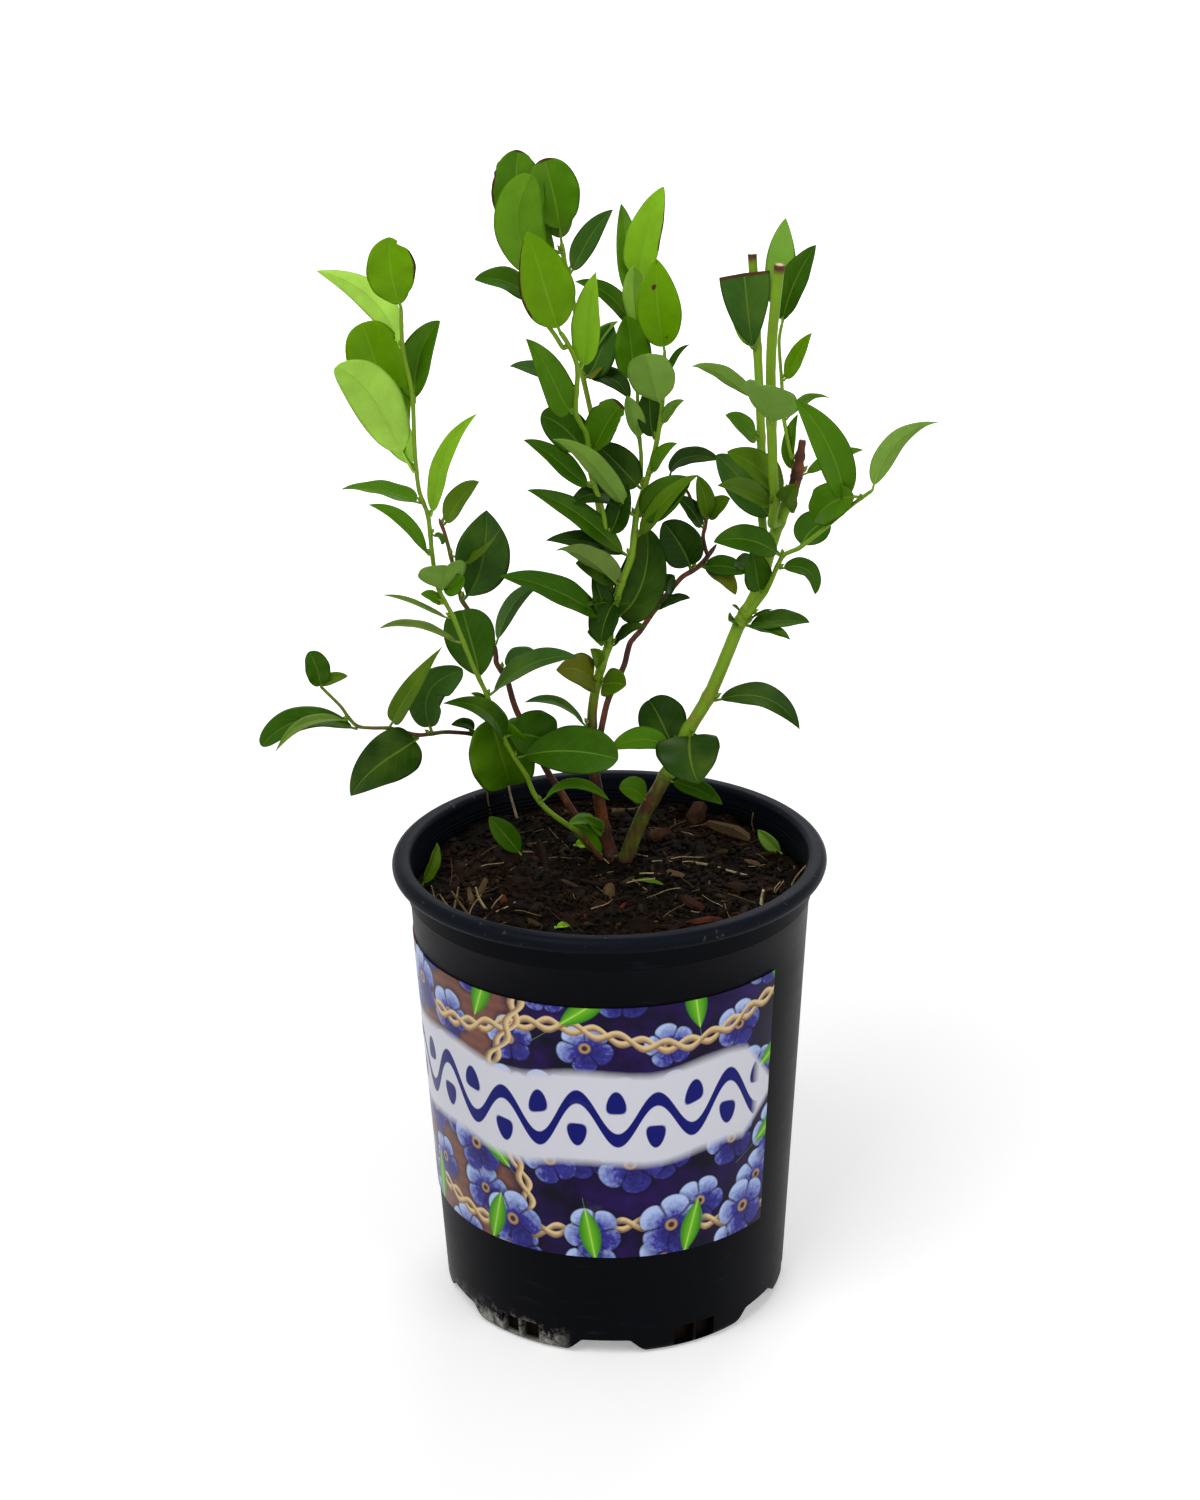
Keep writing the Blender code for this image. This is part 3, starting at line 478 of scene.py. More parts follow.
STALKS = [                  # foot, tip, lean, radius
    ((-45.6, 200.1), (-46.8, 216), -3, 1.0), ((-35.8, 200.8), (-38.9, 216.5), -3, 1.0),
    ((-0.2, 202.5), (12.8, 203.9), None, 1.8),
    ((56.7, 192.9), (56.3, 201.2), -1, 0.6), ((56.7, 197.6), (58.5, 199.6), -1, 0.4),
    ((64.3, 191.6), (67.5, 199), -1, 0.6), ((32.3, 180.6), (55.7, 174.2), None, 0.65),
    ((22.8, 182.4), (33.8, 177.4), None, 0.4), ((-16.3, 196.5), (-21.2, 201.3), 3, 0.9),
    ((-58.8, 158.9), (-66.9, 168.5), 2, 0.8), ((-55.2, 157.6), (-62.1, 169.8), 3, 1.1),
    ((-48.8, 161.2), (-52.6, 171.3), 2, 1.1), ((-68.9, 164.5), (-70.1, 172.4), 2, 0.7),
    ((-55.9, 158.3), (-50.5, 168.2), 3, 0.6), ((-61.7, 160.4), (-59.5, 171.4), 2, 0.9),
    ((64.5, 163.6), (68.5, 172), 1, 0.8), ((71.2, 169.2), (78.6, 180.2), 0, 0.8),
    ((75.7, 175.1), (72.4, 178.3), 0, 0.5), ((59.7, 161.7), (60.4, 168.1), 1, 1.4),
    ((-17.2, 202.8), (-8.2, 201.1), None, 0.8), ((64.9, 166.3), (67, 171.6), 1, 0.6),
    ((8.2, 173.8), (15.4, 168.5), None, 0.7), ((-40.6, 194), (-29.3, 195.5), None, 0.5),
    ((-46.6, 162.1), (-42.2, 168.1), 1, 0.6), ((11.8, 176.2), (31.9, 173.8), None, 0.35),
    ((-33.5, 188.9), (-21.6, 191.1), None, 0.45),
]


# ---------------------------------------------------------------- colours
def tint(red, green, blue):
    """Linear colour of a display colour given in 0 to 255."""
    def linear(value):
        share = value / 255.0
        return share / 12.92 if share <= 0.04045 else ((share + 0.055) / 1.055) ** 2.4
    return (linear(red), linear(green), linear(blue), 1.0)


# The tones are partly the leaves' own colours and partly painted light: lime paints the light on the
# brightest top leaves, dark paints the shade on leaves deep in the bush, and blue paints the sky's
# sheen on dark leaves.
LEAF_COLOURS = {            # upper face and underside of each tone
    "lime": (tint(150, 200, 44), tint(182, 226, 92)),
    "bright": (tint(112, 162, 0), tint(112, 164, 36)),
    "fresh": (tint(140, 190, 36), tint(158, 202, 76)),
    "mid": (tint(80, 129, 4), tint(104, 144, 48)),
    "deep": (tint(52, 94, 0), tint(88, 124, 38)),
    "dark": (tint(34, 67, 0), tint(76, 108, 31)),
    "blue": (tint(59, 98, 29), tint(92, 130, 66)),
    "olive": (tint(84, 118, 12), tint(84, 116, 28)),
    "sage": (tint(116, 160, 54), tint(138, 178, 76)),
    "dusty": (tint(104, 134, 50), tint(122, 150, 72)),
    "russet": (tint(106, 112, 22), tint(116, 112, 44)),
}
LEAF_SLOTS = {"lime": "pale", "sage": "pale", "bright": "fresh", "deep": "dark", "dusty": "olive",
              "russet": "olive"}
VEIN_PALE = tint(170, 204, 72)
STEM_GREEN = tint(118, 154, 30)
STEM_BROWN = tint(74, 44, 34)
BARK_ORANGE = tint(142, 78, 34)
WITHERED = tint(82, 54, 30)
PITH = tint(196, 186, 120)
RUST = tint(48, 29, 19)
MIX_COLOURS = {             # dark, middle and light of each thing in the mix
    # The earth is partly its own dark peat and partly painted shade: its colours are darkened for the
    # mix that lies deep in the pot's shade.
    "earth": (tint(9, 7, 4), tint(20, 15, 10), tint(38, 29, 19)),
    # The dark bark's light colour is likewise darkened as painted shade.
    "dark": (tint(14, 10, 8), tint(30, 21, 15), tint(60, 45, 30)),
    "red": (tint(28, 15, 11), tint(50, 26, 18), tint(86, 42, 31)),
    "brown": (tint(30, 19, 14), tint(48, 31, 22), tint(70, 48, 34)),
    "wood": (tint(58, 44, 30), tint(82, 64, 44), tint(110, 90, 64)),
    "straw": (tint(88, 70, 46), tint(140, 120, 84), tint(188, 172, 130)),
}


# ---------------------------------------------------------------- small tools
def ramp(value, low, high):
    """0 up to low and 1 from high, with a straight slope between."""
    return min(max((value - low) / (high - low), 0.0), 1.0)


def bump_at(value, centre, width):
    """A bell that is 1 at its centre."""
    return math.exp(-((value - centre) / width) ** 2)


def add_object(name, data):
    made = bpy.data.objects.new(name, data)
    bpy.context.scene.collection.objects.link(made)
    return made


def mesh_of(bm, name):
    """Turn a bmesh into a mesh."""
    mesh = bpy.data.meshes.new(name)
    bm.to_mesh(mesh)
    bm.free()
    return mesh


# ---------------------------------------------------------------- node maths
def feed(tree, value, slot):
    """Link a field or socket to a slot, or set the slot to a plain value."""
    if isinstance(value, Field):
        value = value.socket
    if isinstance(value, bpy.types.NodeSocket):
        tree.links.new(value, slot)
    else:
        slot.default_value = value


class Field:
    """A number that varies over a surface: arithmetic on it adds math nodes to its tree."""

    def __init__(self, tree, socket):
        self.tree = tree
        self.socket = socket

    def math(self, operation, *others, clamp=False):
        node = self.tree.nodes.new("ShaderNodeMath")
        node.operation = operation
        node.use_clamp = clamp
        for slot, value in zip(node.inputs, (self,) + others):
            feed(self.tree, value, slot)
        return Field(self.tree, node.outputs[0])

    __add__ = partialmethod(math, "ADD")
    __sub__ = partialmethod(math, "SUBTRACT")
    __mul__ = partialmethod(math, "MULTIPLY")
    __truediv__ = partialmethod(math, "DIVIDE")
    abs = partialmethod(math, "ABSOLUTE")
    sin = partialmethod(math, "SINE")
    cos = partialmethod(math, "COSINE")
    power = partialmethod(math, "POWER")
    floor = partialmethod(math, "FLOOR")
    fraction = partialmethod(math, "FRACT")
    below = partialmethod(math, "LESS_THAN")
    most = partialmethod(math, "MAXIMUM")
    angle_to = partialmethod(math, "ARCTAN2")
    clamped = partialmethod(math, "ADD", 0.0, clamp=True)

    def step(self, low, high):
        """0 below low and 1 above high, or the other way round, with a straight slope between."""
        return ((self - low) / (high - low)).clamped()


def seen_directly(tree):
    """1 for rays that show a thing itself, seen straight, in a mirror or through glass."""
    path = tree.nodes.new("ShaderNodeLightPath")
    camera, glossy, through = [Field(tree, path.outputs[f"Is {kind} Ray"])
                               for kind in ("Camera", "Glossy", "Transmission")]
    return camera.most(glossy).most(through)


class Finish:
    """A material under construction: its node tree with short ways to add to it."""

    def __init__(self, name, roughness, specular):
        self.material = bpy.data.materials.new(name)
        self.material.use_nodes = True
        self.tree = self.material.node_tree
        self.shader = self.tree.nodes["Principled BSDF"]
        self.shade("Roughness", roughness)
        self.shade("Specular IOR Level", specular)
        self.place = self.node("TexCoord").outputs["Object"]

    def shade(self, name, value):
        """Feed one input of the material's shader."""
        feed(self.tree, value, self.shader.inputs[name])

    def node(self, kind, **inputs):
        made = self.tree.nodes.new("ShaderNode" + kind)
        for name, value in inputs.items():
            feed(self.tree, value, made.inputs[name])
        return made

    def attribute(self, name):
        made = self.node("Attribute")
        made.attribute_name = name
        return made.outputs

    def spot(self):
        """The three numbers of the "spot" attribute."""
        return self.split(self.attribute("spot")["Vector"])

    def wear(self):
        return Field(self.tree, self.attribute("wear")["Fac"])

    def split(self, socket):
        return [Field(self.tree, out) for out in self.node("SeparateXYZ", Vector=socket).outputs]

    def join(self, x, y, z):
        return self.node("CombineXYZ", X=x, Y=y, Z=z).outputs[0]

    def noise(self, scale, detail=3.0, roughness=0.55, at=None, stretch=None):
        """Fractal noise from 0 to 1, scale in features per metre unless at is given."""
        where = at or self.place
        if stretch:
            where = self.node("Mapping", Vector=where, Scale=stretch).outputs[0]
        made = self.node("TexNoise", Vector=where, Scale=scale, Detail=detail, Roughness=roughness)
        return Field(self.tree, made.outputs["Fac"])

    def chance(self, x, y, z):
        """A random number from 0 to 1 for each whole-number place."""
        made = self.node("TexWhiteNoise", Vector=self.join(x, y, z))
        return Field(self.tree, made.outputs["Value"])

    def blend(self, share, first, second):
        """Colour that goes from the first to the second as share goes from 0 to 1."""
        made = self.node("Mix")
        made.data_type = "RGBA"
        # Socket names repeat for each data type: 0 is the share, 6 and 7 are the two colours.
        for index, value in ((0, share), (6, first), (7, second)):
            feed(self.tree, value, made.inputs[index])
        return made.outputs[2]

    def brightened(self, colour, factor):
        made = self.node("VectorMath")
        made.operation = "SCALE"
        is_socket = isinstance(colour, bpy.types.NodeSocket)
        feed(self.tree, colour if is_socket else colour[:3], made.inputs[0])
        feed(self.tree, factor, made.inputs["Scale"])
        return made.outputs[0]

    def bump(self, field, strength, distance_mm):
        made = self.node("Bump", Strength=strength, Distance=distance_mm * MM, Height=field)
        self.shade("Normal", made.outputs["Normal"])

    def lets_light_through(self, share, colour):
        """Mix in light that shines through a thin blade."""
        glow = self.node("BsdfTranslucent", Color=colour)
        mixed = self.node("MixShader")
        for slot, value in zip(mixed.inputs, (share, self.shader.outputs[0], glow.outputs[0])):
            feed(self.tree, value, slot)
        feed(self.tree, mixed.outputs[0], self.tree.nodes["Material Output"].inputs["Surface"])


# ---------------------------------------------------------------- finishes
# Point attributes: "wear" is how brown a point is, from 0 to 1. "spot" is (across, along, the thing's
# own random number), on stems (leaf scar, along, pith) and on the label (mm along it, mm up it, 0).
def leaf_finish(name, colour, upper):
    """Leaf skin: pale midrib and curved side veins, mottled green, brown where it is withered."""
    made = Finish(name, roughness=0.48 if upper else 0.62, specular=0.10 if upper else 0.03)
    across, along, which = made.spot()
    wear = made.wear()
    side = across.abs()
    midrib = (side / (along * -0.045 + 0.075)).step(1.0, 0.35)
    drift = made.noise(0.9, 1.0, at=made.join(across * 1.3, along * 3.0, which * 37.0))
    phase = along * VEIN_PHASE - side.power(0.85) * VEIN_SWEEP + drift * 0.35
    nearest = (phase.fraction() - 0.5).abs() * 2.0
    side_veins = nearest.step(0.88, 0.99) * side.step(0.95, 0.45) * 0.22
    veins = midrib.most(side_veins)
    blotch = made.noise(120.0, 4.0)
    fine = made.noise(900.0, 2.0)
    green = made.brightened(colour, blotch * 0.42 + fine * 0.12 + which * 0.20 + 0.63)
    pale = tuple(0.58 * value + 0.42 * goal for value, goal in zip(colour, VEIN_PALE))
    green = made.blend(made.noise(45.0, 2.0).step(0.50, 0.80) * 0.35, green, pale)
    green = made.blend(veins * (0.60 if upper else 0.45), green, pale)
    frayed = (wear + (made.noise(420.0, 3.0) - 0.5) * wear * 1.1).step(0.42, 0.62)
    skin = made.blend(frayed, green, made.brightened(WITHERED, blotch * 0.9 + 0.55))
    made.shade("Base Color", skin)
    made.shade("Roughness", fine * 0.10 + blotch * 0.10 + (0.36 if upper else 0.52))
    made.bump(fine * 0.25 - veins * (1.0 if upper else -1.0), 0.35, 0.25)
    made.lets_light_through(0.22, made.brightened(skin, 1.25))
    return made.material


def bark_finish():
    """Stem skin, green where it is young and brown where it is old, darker round its nodes."""
    made = Finish("stem_bark", roughness=0.5, specular=0.18)
    scar, _, pith = made.spot()
    age = made.wear()
    streak = made.noise(420.0, 4.0, stretch=(1.0, 1.0, 0.18))
    blotch = made.noise(95.0, 3.0)
    lenticels = made.noise(700.0, 2.0, stretch=(1.0, 1.0, 0.45)).step(0.66, 0.74)
    mottle = (streak - 0.5) * 0.6 + (blotch - 0.5) * 0.8
    brown_share = (age + mottle * age.step(0.02, 0.3)).step(0.22, 0.72)
    green = made.brightened(STEM_GREEN, blotch * 0.35 + streak * 0.25 + 0.68)
    orange_share = blotch.step(0.45, 0.70) * streak.step(0.35, 0.65)
    brown = made.blend(orange_share, STEM_BROWN, BARK_ORANGE)
    brown = made.brightened(brown, blotch * 0.6 + streak * 0.7 + 0.35)
    skin = made.blend(brown_share, green, brown)
    skin = made.blend(lenticels * (age * 0.30 + 0.15), skin, tint(150, 128, 84))
    skin = made.blend(scar * 0.75, skin, tint(58, 40, 26))
    skin = made.blend(pith, skin, PITH)
    made.shade("Base Color", skin)
    made.shade("Roughness", streak * 0.2 + brown_share * 0.15 + 0.36)
    made.bump(streak * (age * 0.8 + 0.2) + lenticels * 0.5, 0.5, 0.25)
    return made.material


def pot_finish():
    """Blow-moulded blue-black plastic with fine scuffs, a painted bluish highlight on the lip, and
    pale splashed dirt low on the left.
    """
    made = Finish("blue_black_plastic", roughness=0.4, specular=0.03)
    x, y, z = made.split(made.place)
    cloud = made.noise(22.0, 3.0)
    grain = made.noise(1400.0, 2.0)
    scuff = made.noise(60.0, 4.0, stretch=(1.0, 1.0, 6.0))
    base = made.brightened(tint(8, 9, 13), cloud * 0.5 + 0.75)
    # Painted highlight: the lip turns lighter and bluer towards its top, for the sky's reflection on
    # the rim.
    base = made.blend(z.step(0.174, 0.187) * 0.60, base, tint(18, 23, 33))
    base = made.blend(scuff.step(0.62, 0.80) * 0.16, base, tint(62, 66, 76))
    low = z.step(0.015, 0.003)
    outer = (x * x + y * y).power(0.5).step(0.0645, 0.0665)     # 0 inside the drains
    base = made.blend(outer, tint(26, 20, 14), base)
    left = x.step(-0.018, -0.026) * x.step(-0.075, -0.050)
    dust = made.noise(260.0, 7.0, roughness=0.74) + low * 0.24
    patch = dust.step(0.58, 0.84) * low.step(0.0, 0.6) * left * y.step(0.02, -0.02) * outer
    base = made.blend(patch * 0.88, base, tint(178, 176, 168))
    rim_dirt = made.noise(340.0, 4.0).step(0.66, 0.74) * z.step(0.176, 0.182)
    made.shade("Base Color", made.blend(rim_dirt * 0.35, base, tint(120, 108, 84)))
    made.shade("Roughness", cloud * 0.14 + scuff * 0.10 + patch * 0.35 + 0.28)
    made.bump(grain * 0.5 + scuff * 0.6, 0.12, 0.2)
    return made.material


# Inks of the label's print.
NIGHT, INDIGO = tint(8, 3, 24), tint(40, 17, 86)
PETAL_DEEP, PETAL_BLUE, PETAL_PALE = tint(24, 10, 64), tint(62, 62, 160), tint(178, 198, 240)
EYE_GOLD, EYE_DARK, PETAL_GAP, PETAL_SHADE = (tint(176, 140, 96), tint(60, 40, 44), tint(22, 12, 58),
                                              tint(12, 8, 28))
CORD_DARK, CORD_LIGHT = tint(92, 52, 28), tint(224, 196, 146)
SPRIG_LIGHT, SPRIG_DARK, SPRIG_VEIN = tint(112, 190, 36), tint(44, 122, 22), tint(190, 224, 110)
WICKER, BAND_PALE, VINE_INK = tint(118, 78, 68), tint(214, 214, 224), tint(12, 18, 108)
BAND_MIDDLE = 62.0          # mm above the label's lower edge
VINE_TURN = 0.209           # radians for each mm along the band


class LabelArt:
    """The label's print, painted over a ground: u and v are mm along and up the label."""

    def __init__(self):
        self.made = Finish("label_print", roughness=0.34, specular=0.10)
        self.u, self.v, _ = self.made.spot()
        self.cloud = self.noise_at(0.06, 0.0)
        self.fine = self.noise_at(0.5, 3.0)

    def noise_at(self, per_mm, slice_at):
        return self.made.noise(1.0, 3.0, at=self.made.join(self.u * per_mm, self.v * per_mm, slice_at))

    def ground(self):
        """Indigo clouds, and a woven brown panel on the left."""
        blend = self.made.blend
        ground = blend(self.cloud.step(0.35, 0.72), NIGHT, INDIGO)
        weave = (self.v * 1.3 + self.cloud * 5.0).sin() * 0.07
        panel = self.made.brightened(WICKER, self.cloud * 0.6 + self.fine * 0.35 + weave + 0.50)
        edge = self.u - (self.v * 0.075).sin() * 9.0 + self.cloud * 8.0
        return blend(edge.step(100.0, 94.0), ground, panel)

    def florets(self, art, pitch_u, pitch_v, shift_u, shift_v, radius, seed, share):
        """Staggered five-petalled flowers, a share of the places left empty."""
        made = self.made
        row = (self.v + shift_v) / pitch_v
        level = row.floor()
        column = (self.u + shift_u) / pitch_u + (level * 0.5).fraction()
        stand = column.floor()
        luck = made.chance(stand, level, seed)
        twist = made.chance(stand, level, seed + 7.0)
        dx = (column.fraction() - 0.5) * pitch_u + (luck - 0.5) * 3.0
        dy = (row.fraction() - 0.5) * pitch_v + (twist - 0.5) * 3.0
        away = (dx * dx + dy * dy).power(0.5)
        angle = dy.angle_to(dx) + twist * math.tau
        petal = (angle * 2.5).cos().abs()
        rim = (petal.power(0.5) * 0.30 + 0.70) * (luck * 0.30 + 0.80) * radius
        reach = away / rim
        lit = (dy * 0.9 - dx * 0.5) / radius * 0.42 + self.cloud * 0.5
        glow = (reach * 0.60 + self.fine * 0.6 + lit - 0.46).clamped()
        petals = made.blend(glow.step(0.0, 0.5), PETAL_DEEP, PETAL_BLUE)
        petals = made.blend(glow.step(0.38, 0.92), petals, PETAL_PALE)
        petals = made.blend(petal.step(0.30, 0.04) * reach.step(0.15, 0.5) * 0.85, petals, PETAL_GAP)
        petals = made.blend(away.step(radius * 0.22, radius * 0.16), petals, EYE_GOLD)
        petals = made.blend(away.step(radius * 0.12, radius * 0.07), petals, EYE_DARK)
        grown = luck.below(share)
        shaded = made.blend((away - rim).step(2.6, 0.0) * grown * 0.6, art, PETAL_SHADE)
        return made.blend((away - rim).step(0.35, -0.35) * grown, shaded, petals)

    def braid(self, art, offset, swing, wavelength, upright=False):
        """Two gold strands that cross along a waving line."""
        along, other = (self.v, self.u) if upright else (self.u, self.v)
        middle = (along * (math.tau / wavelength)).sin() * swing + offset
        for strand in (-1.0, 1.0):
            line = other - middle - (along * 0.36).sin() * strand * 2.1
            light = ((line * 0.6 + 0.6).clamped() * 0.8 + self.fine * 0.5).clamped()
            cord = self.made.blend(light, CORD_DARK, CORD_LIGHT)
            art = self.made.blend(line.abs().step(1.7, 1.2), art, cord)
        return art

    def sprigs(self, art, pitch_u, pitch_v, shift_u, shift_v, size, seed, share):
        """Pointed leaves that lie at odd angles."""
        row = (self.v + shift_v) / pitch_v
        column = (self.u + shift_u) / pitch_u
        luck = self.made.chance(column.floor(), row.floor(), seed)
        angle = luck * 9.0
        dx = (column.fraction() - 0.5) * pitch_u
        dy = (row.fraction() - 0.5) * pitch_v
        along = dx * angle.cos() + dy * angle.sin()
        off = (dy * angle.cos() - dx * angle.sin()).abs()
        half = (along * along).step(size * size, 0.0) * (size * 0.36)
        green = self.made.blend((off / half.most(0.1)).clamped(), SPRIG_LIGHT, SPRIG_DARK)
        green = self.made.blend(off.step(0.5, 0.2) * 0.6, green, SPRIG_VEIN)
        return self.made.blend((off - half).step(0.2, -0.3) * luck.below(share), art, green)

    def band(self, art):
        """A soft pale strip with a plain dark blue vine and drops along it."""
        wobble = (self.u * 0.11).sin() * 1.6 + (self.u * 0.043).sin() * 1.2
        end = (self.u - 196.0).most(0.0) * 1.1
        off_middle = (self.v - wobble - BAND_MIDDLE).abs() + end + self.cloud * 2.0
        art = self.made.blend(off_middle.step(22.5, 18.5), art, BAND_PALE)
        turn = (self.u * VINE_TURN).sin()
        stroke = (self.v - wobble - BAND_MIDDLE - turn * 9.0).abs().step(3.3, 2.7)
        pitch = 15.0
        drop_x = ((self.u / pitch).fraction() - 0.5) * pitch
        drop_y = self.v - wobble - BAND_MIDDLE - turn * -7.5
        drop = (drop_x * drop_x * 0.075 + drop_y * drop_y * 0.045).power(0.5).step(1.12, 0.98)
        ink = stroke.most(drop) * self.u.step(204.0, 200.0)
        return self.made.blend(ink * off_middle.step(19.5, 18.0), art, VINE_INK)


def label_finish():
    """Print of the label: florets, gold braids and sprigs on indigo, with a pale soft band."""
    label = LabelArt()
    made = label.made
    art = label.florets(label.ground(), 30.0, 24.0, 4.0, 14.0, 11.5, 3.0, 0.85)
    art = label.braid(art, 97.0, 5.0, 96.0)
    art = label.braid(art, 11.0, 4.0, 118.0)
    art = label.braid(art, 98.0, 8.0, 90.0, upright=True)
    art = label.florets(art, 33.0, 29.0, 17.0, 2.0, 13.5, 11.0, 0.72)
    art = label.sprigs(art, 41.0, 33.0, 12.0, 6.0, 12.0, 5.0, 0.60)
    art = label.band(art)
    sheen = made.noise(55.0, 4.0).step(0.66, 0.86) * 0.10
    made.shade("Base Color", made.blend(sheen, art, tint(200, 200, 205)))
    made.shade("Roughness", made.noise(90.0, 3.0) * 0.12 + 0.24)
    made.bump(made.noise(40.0, 3.0) * 0.8 + label.fine * 0.1, 0.12, 0.5)
    return made.material


def soil_finish(name, kind, grain_scale, patches=0.0):
    """Earth, bark or straw: three colours chosen by each piece's own number and by its grain,
    with rusty patches across the mix."""
    made = Finish(name, roughness=0.85, specular=0.04)
    across, along, which = made.spot()
    grain = made.noise(grain_scale, 5.0, roughness=0.65)
    streak = made.noise(6.0, 4.0, at=made.join(across * 1.4, along * 0.35, which * 91.0))
    dark, middle, light = MIX_COLOURS[kind]
    pick = which + (grain - 0.5) * 0.5
    tone = made.blend(pick.step(0.15, 0.55), dark, middle)
    tone = made.blend(pick.step(0.72, 0.95), tone, light)
    tone = made.blend(made.noise(38.0, 3.0).step(0.50, 0.72) * patches, tone, RUST)
    made.shade("Base Color", made.brightened(tone, streak * 0.8 + grain * 0.8 + 0.20))
    made.shade("Roughness", grain * 0.4 + 0.55)
    made.bump(grain + streak * 0.6, 0.7, 0.6)
    return made.material


# ---------------------------------------------------------------- mesh building
class Shells:
    """Closed shells of points and faces that become one piece, with "spot" and "wear" values."""

    def __init__(self):
        self.points = []
        self.faces = []
        self.slots = []
        self.spots = []
        self.wears = []

    def add(self, points, faces, spots, wears=None, slots=None):
        """Add one shell. A wear that isn't given is 0, and so is a face's material slot."""
        start = len(self.points)
        self.points += points
        self.faces += [[start + index for index in face] for face in faces]
        self.slots += slots or [0] * len(faces)
        self.spots += spots
        self.wears += wears or [0.0] * len(points)

    def piece(self, name, materials, smooth_deg=180.0):
        mesh = bpy.data.meshes.new(name)
        mesh.from_pydata([Vector(point) * MM for point in self.points], [], self.faces)
        spot = mesh.attributes.new("spot", "FLOAT_VECTOR", "POINT")
        spot.data.foreach_set("vector", [value for row in self.spots for value in row])
        mesh.attributes.new("wear", "FLOAT", "POINT").data.foreach_set("value", self.wears)
        for finish in materials:
            mesh.materials.append(finish)
        mesh.polygons.foreach_set("material_index", self.slots)
        mesh.shade_smooth()
        if smooth_deg < 180.0:
            mesh.set_sharp_from_angle(angle=math.radians(smooth_deg))
        return add_object(name, mesh)


def place_piece(made, slot, *nodes):
    """Put a piece on the body and hide the CAD nodes that it stands for; slot is not used."""
    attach(made, BODY)
    if nodes:
        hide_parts(*nodes)


def side_frames(points):
    """For each point of a line: two directions square to it, without twist."""
    last = len(points) - 1
    frames = []
    side = None
    for index in range(last + 1):
        along = (points[min(index + 1, last)] - points[max(index - 1, 0)]).normalized()
        if side is None:
            guide = Vector((1, 0, 0)) if abs(along.x) < 0.8 else Vector((0, 1, 0))
            side = along.cross(guide).normalized()
        side = (side - along * side.dot(along)).normalized()
        frames.append((side, along.cross(side)))
    return frames


def tube_faces(rows, sides):
    """Faces of a line of rings, closed at both ends."""
    faces = []
    for low in range(0, (rows - 1) * sides, sides):
        for step in range(sides):
            after = (step + 1) % sides
            faces.append([low + step, low + after, low + sides + after, low + sides + step])
    faces.append(list(range(sides))[::-1])
    faces.append(list(range((rows - 1) * sides, rows * sides)))
    return faces


def add_tube(shells, points, radii, spots, wears=None, sides=8, slot=0, flat=1.0, lump=0.0,
             seed=0.0):
    """Sweep a round, flattened or lumpy section along points and close both ends."""
    ring_points = []
    for point, radius, (side, other) in zip(points, radii, side_frames(points)):
        for step in range(sides):
            angle = math.tau * step / sides
            way = side * math.cos(angle) + other * (math.sin(angle) * flat)
            size = radius
            if lump:
                size *= 1.0 + lump * noise.noise((point + way * radius) * 0.35 + Vector((seed,) * 3))
            ring_points.append(point + way * size)
    faces = tube_faces(len(points), sides)
    ring_spots = [spot for spot in spots for _ in range(sides)]
    ring_wears = [wear for wear in wears or () for _ in range(sides)]
    shells.add(ring_points, faces, ring_spots, ring_wears, [slot] * len(faces))


def turned(profile, steps):
    """Points and faces of a closed (radius, z) outline turned about Z. A z that is a function gives
    the height at (x, y), and a place on the axis becomes a single point."""
    points = []
    rings = []
    for radius, z in profile:
        if radius == 0:
            rings.append([len(points)] * steps)
            places = [(0.0, 0.0)]
        else:
            rings.append(range(len(points), len(points) + steps))
            angles = [math.tau * step / steps for step in range(steps)]
            places = [(radius * math.cos(angle), radius * math.sin(angle)) for angle in angles]
        points += [(x, y, z(x, y) if callable(z) else z) for x, y in places]
    faces = []
    for upper, lower in zip(rings, rings[1:] + rings[:1]):
        for step in range(steps):
            after = (step + 1) % steps
            corners = (upper[step], lower[step], lower[after], upper[after])
            face = list(dict.fromkeys(corners))
            if len(face) > 2:
                faces.append(face)
    return points, faces


def grid_faces(rows, columns):
    """Quads between the points of a grid with one point more each way."""
    width = columns + 1
    starts = [row * width + column for row in range(rows) for column in range(columns)]
    return [[at, at + 1, at + width + 1, at + width] for at in starts]


# ---------------------------------------------------------------- pot
def wall_radius(z):
    """Outside radius of the tapered wall at height z."""
    share = (z - BASE_CORNER) / (POT_HEIGHT - LIP_HEIGHT - BASE_CORNER)
    return BASE_RADIUS + (WALL_TOP_RADIUS - BASE_RADIUS) * share


def inside_radius(z):
    """Radius of the mix at height z, a gap clear of the wall."""
    return wall_radius(z) - WALL - GAP


def arc(centre_r, centre_z, radius, from_deg, to_deg, count):
    """Points of an arc in the (radius, z) plane."""
    points = []
    for step in range(count + 1):
        angle = math.radians(from_deg + (to_deg - from_deg) * step / count)
        points.append((centre_r + radius * math.cos(angle), centre_z + radius * math.sin(angle)))
    return points


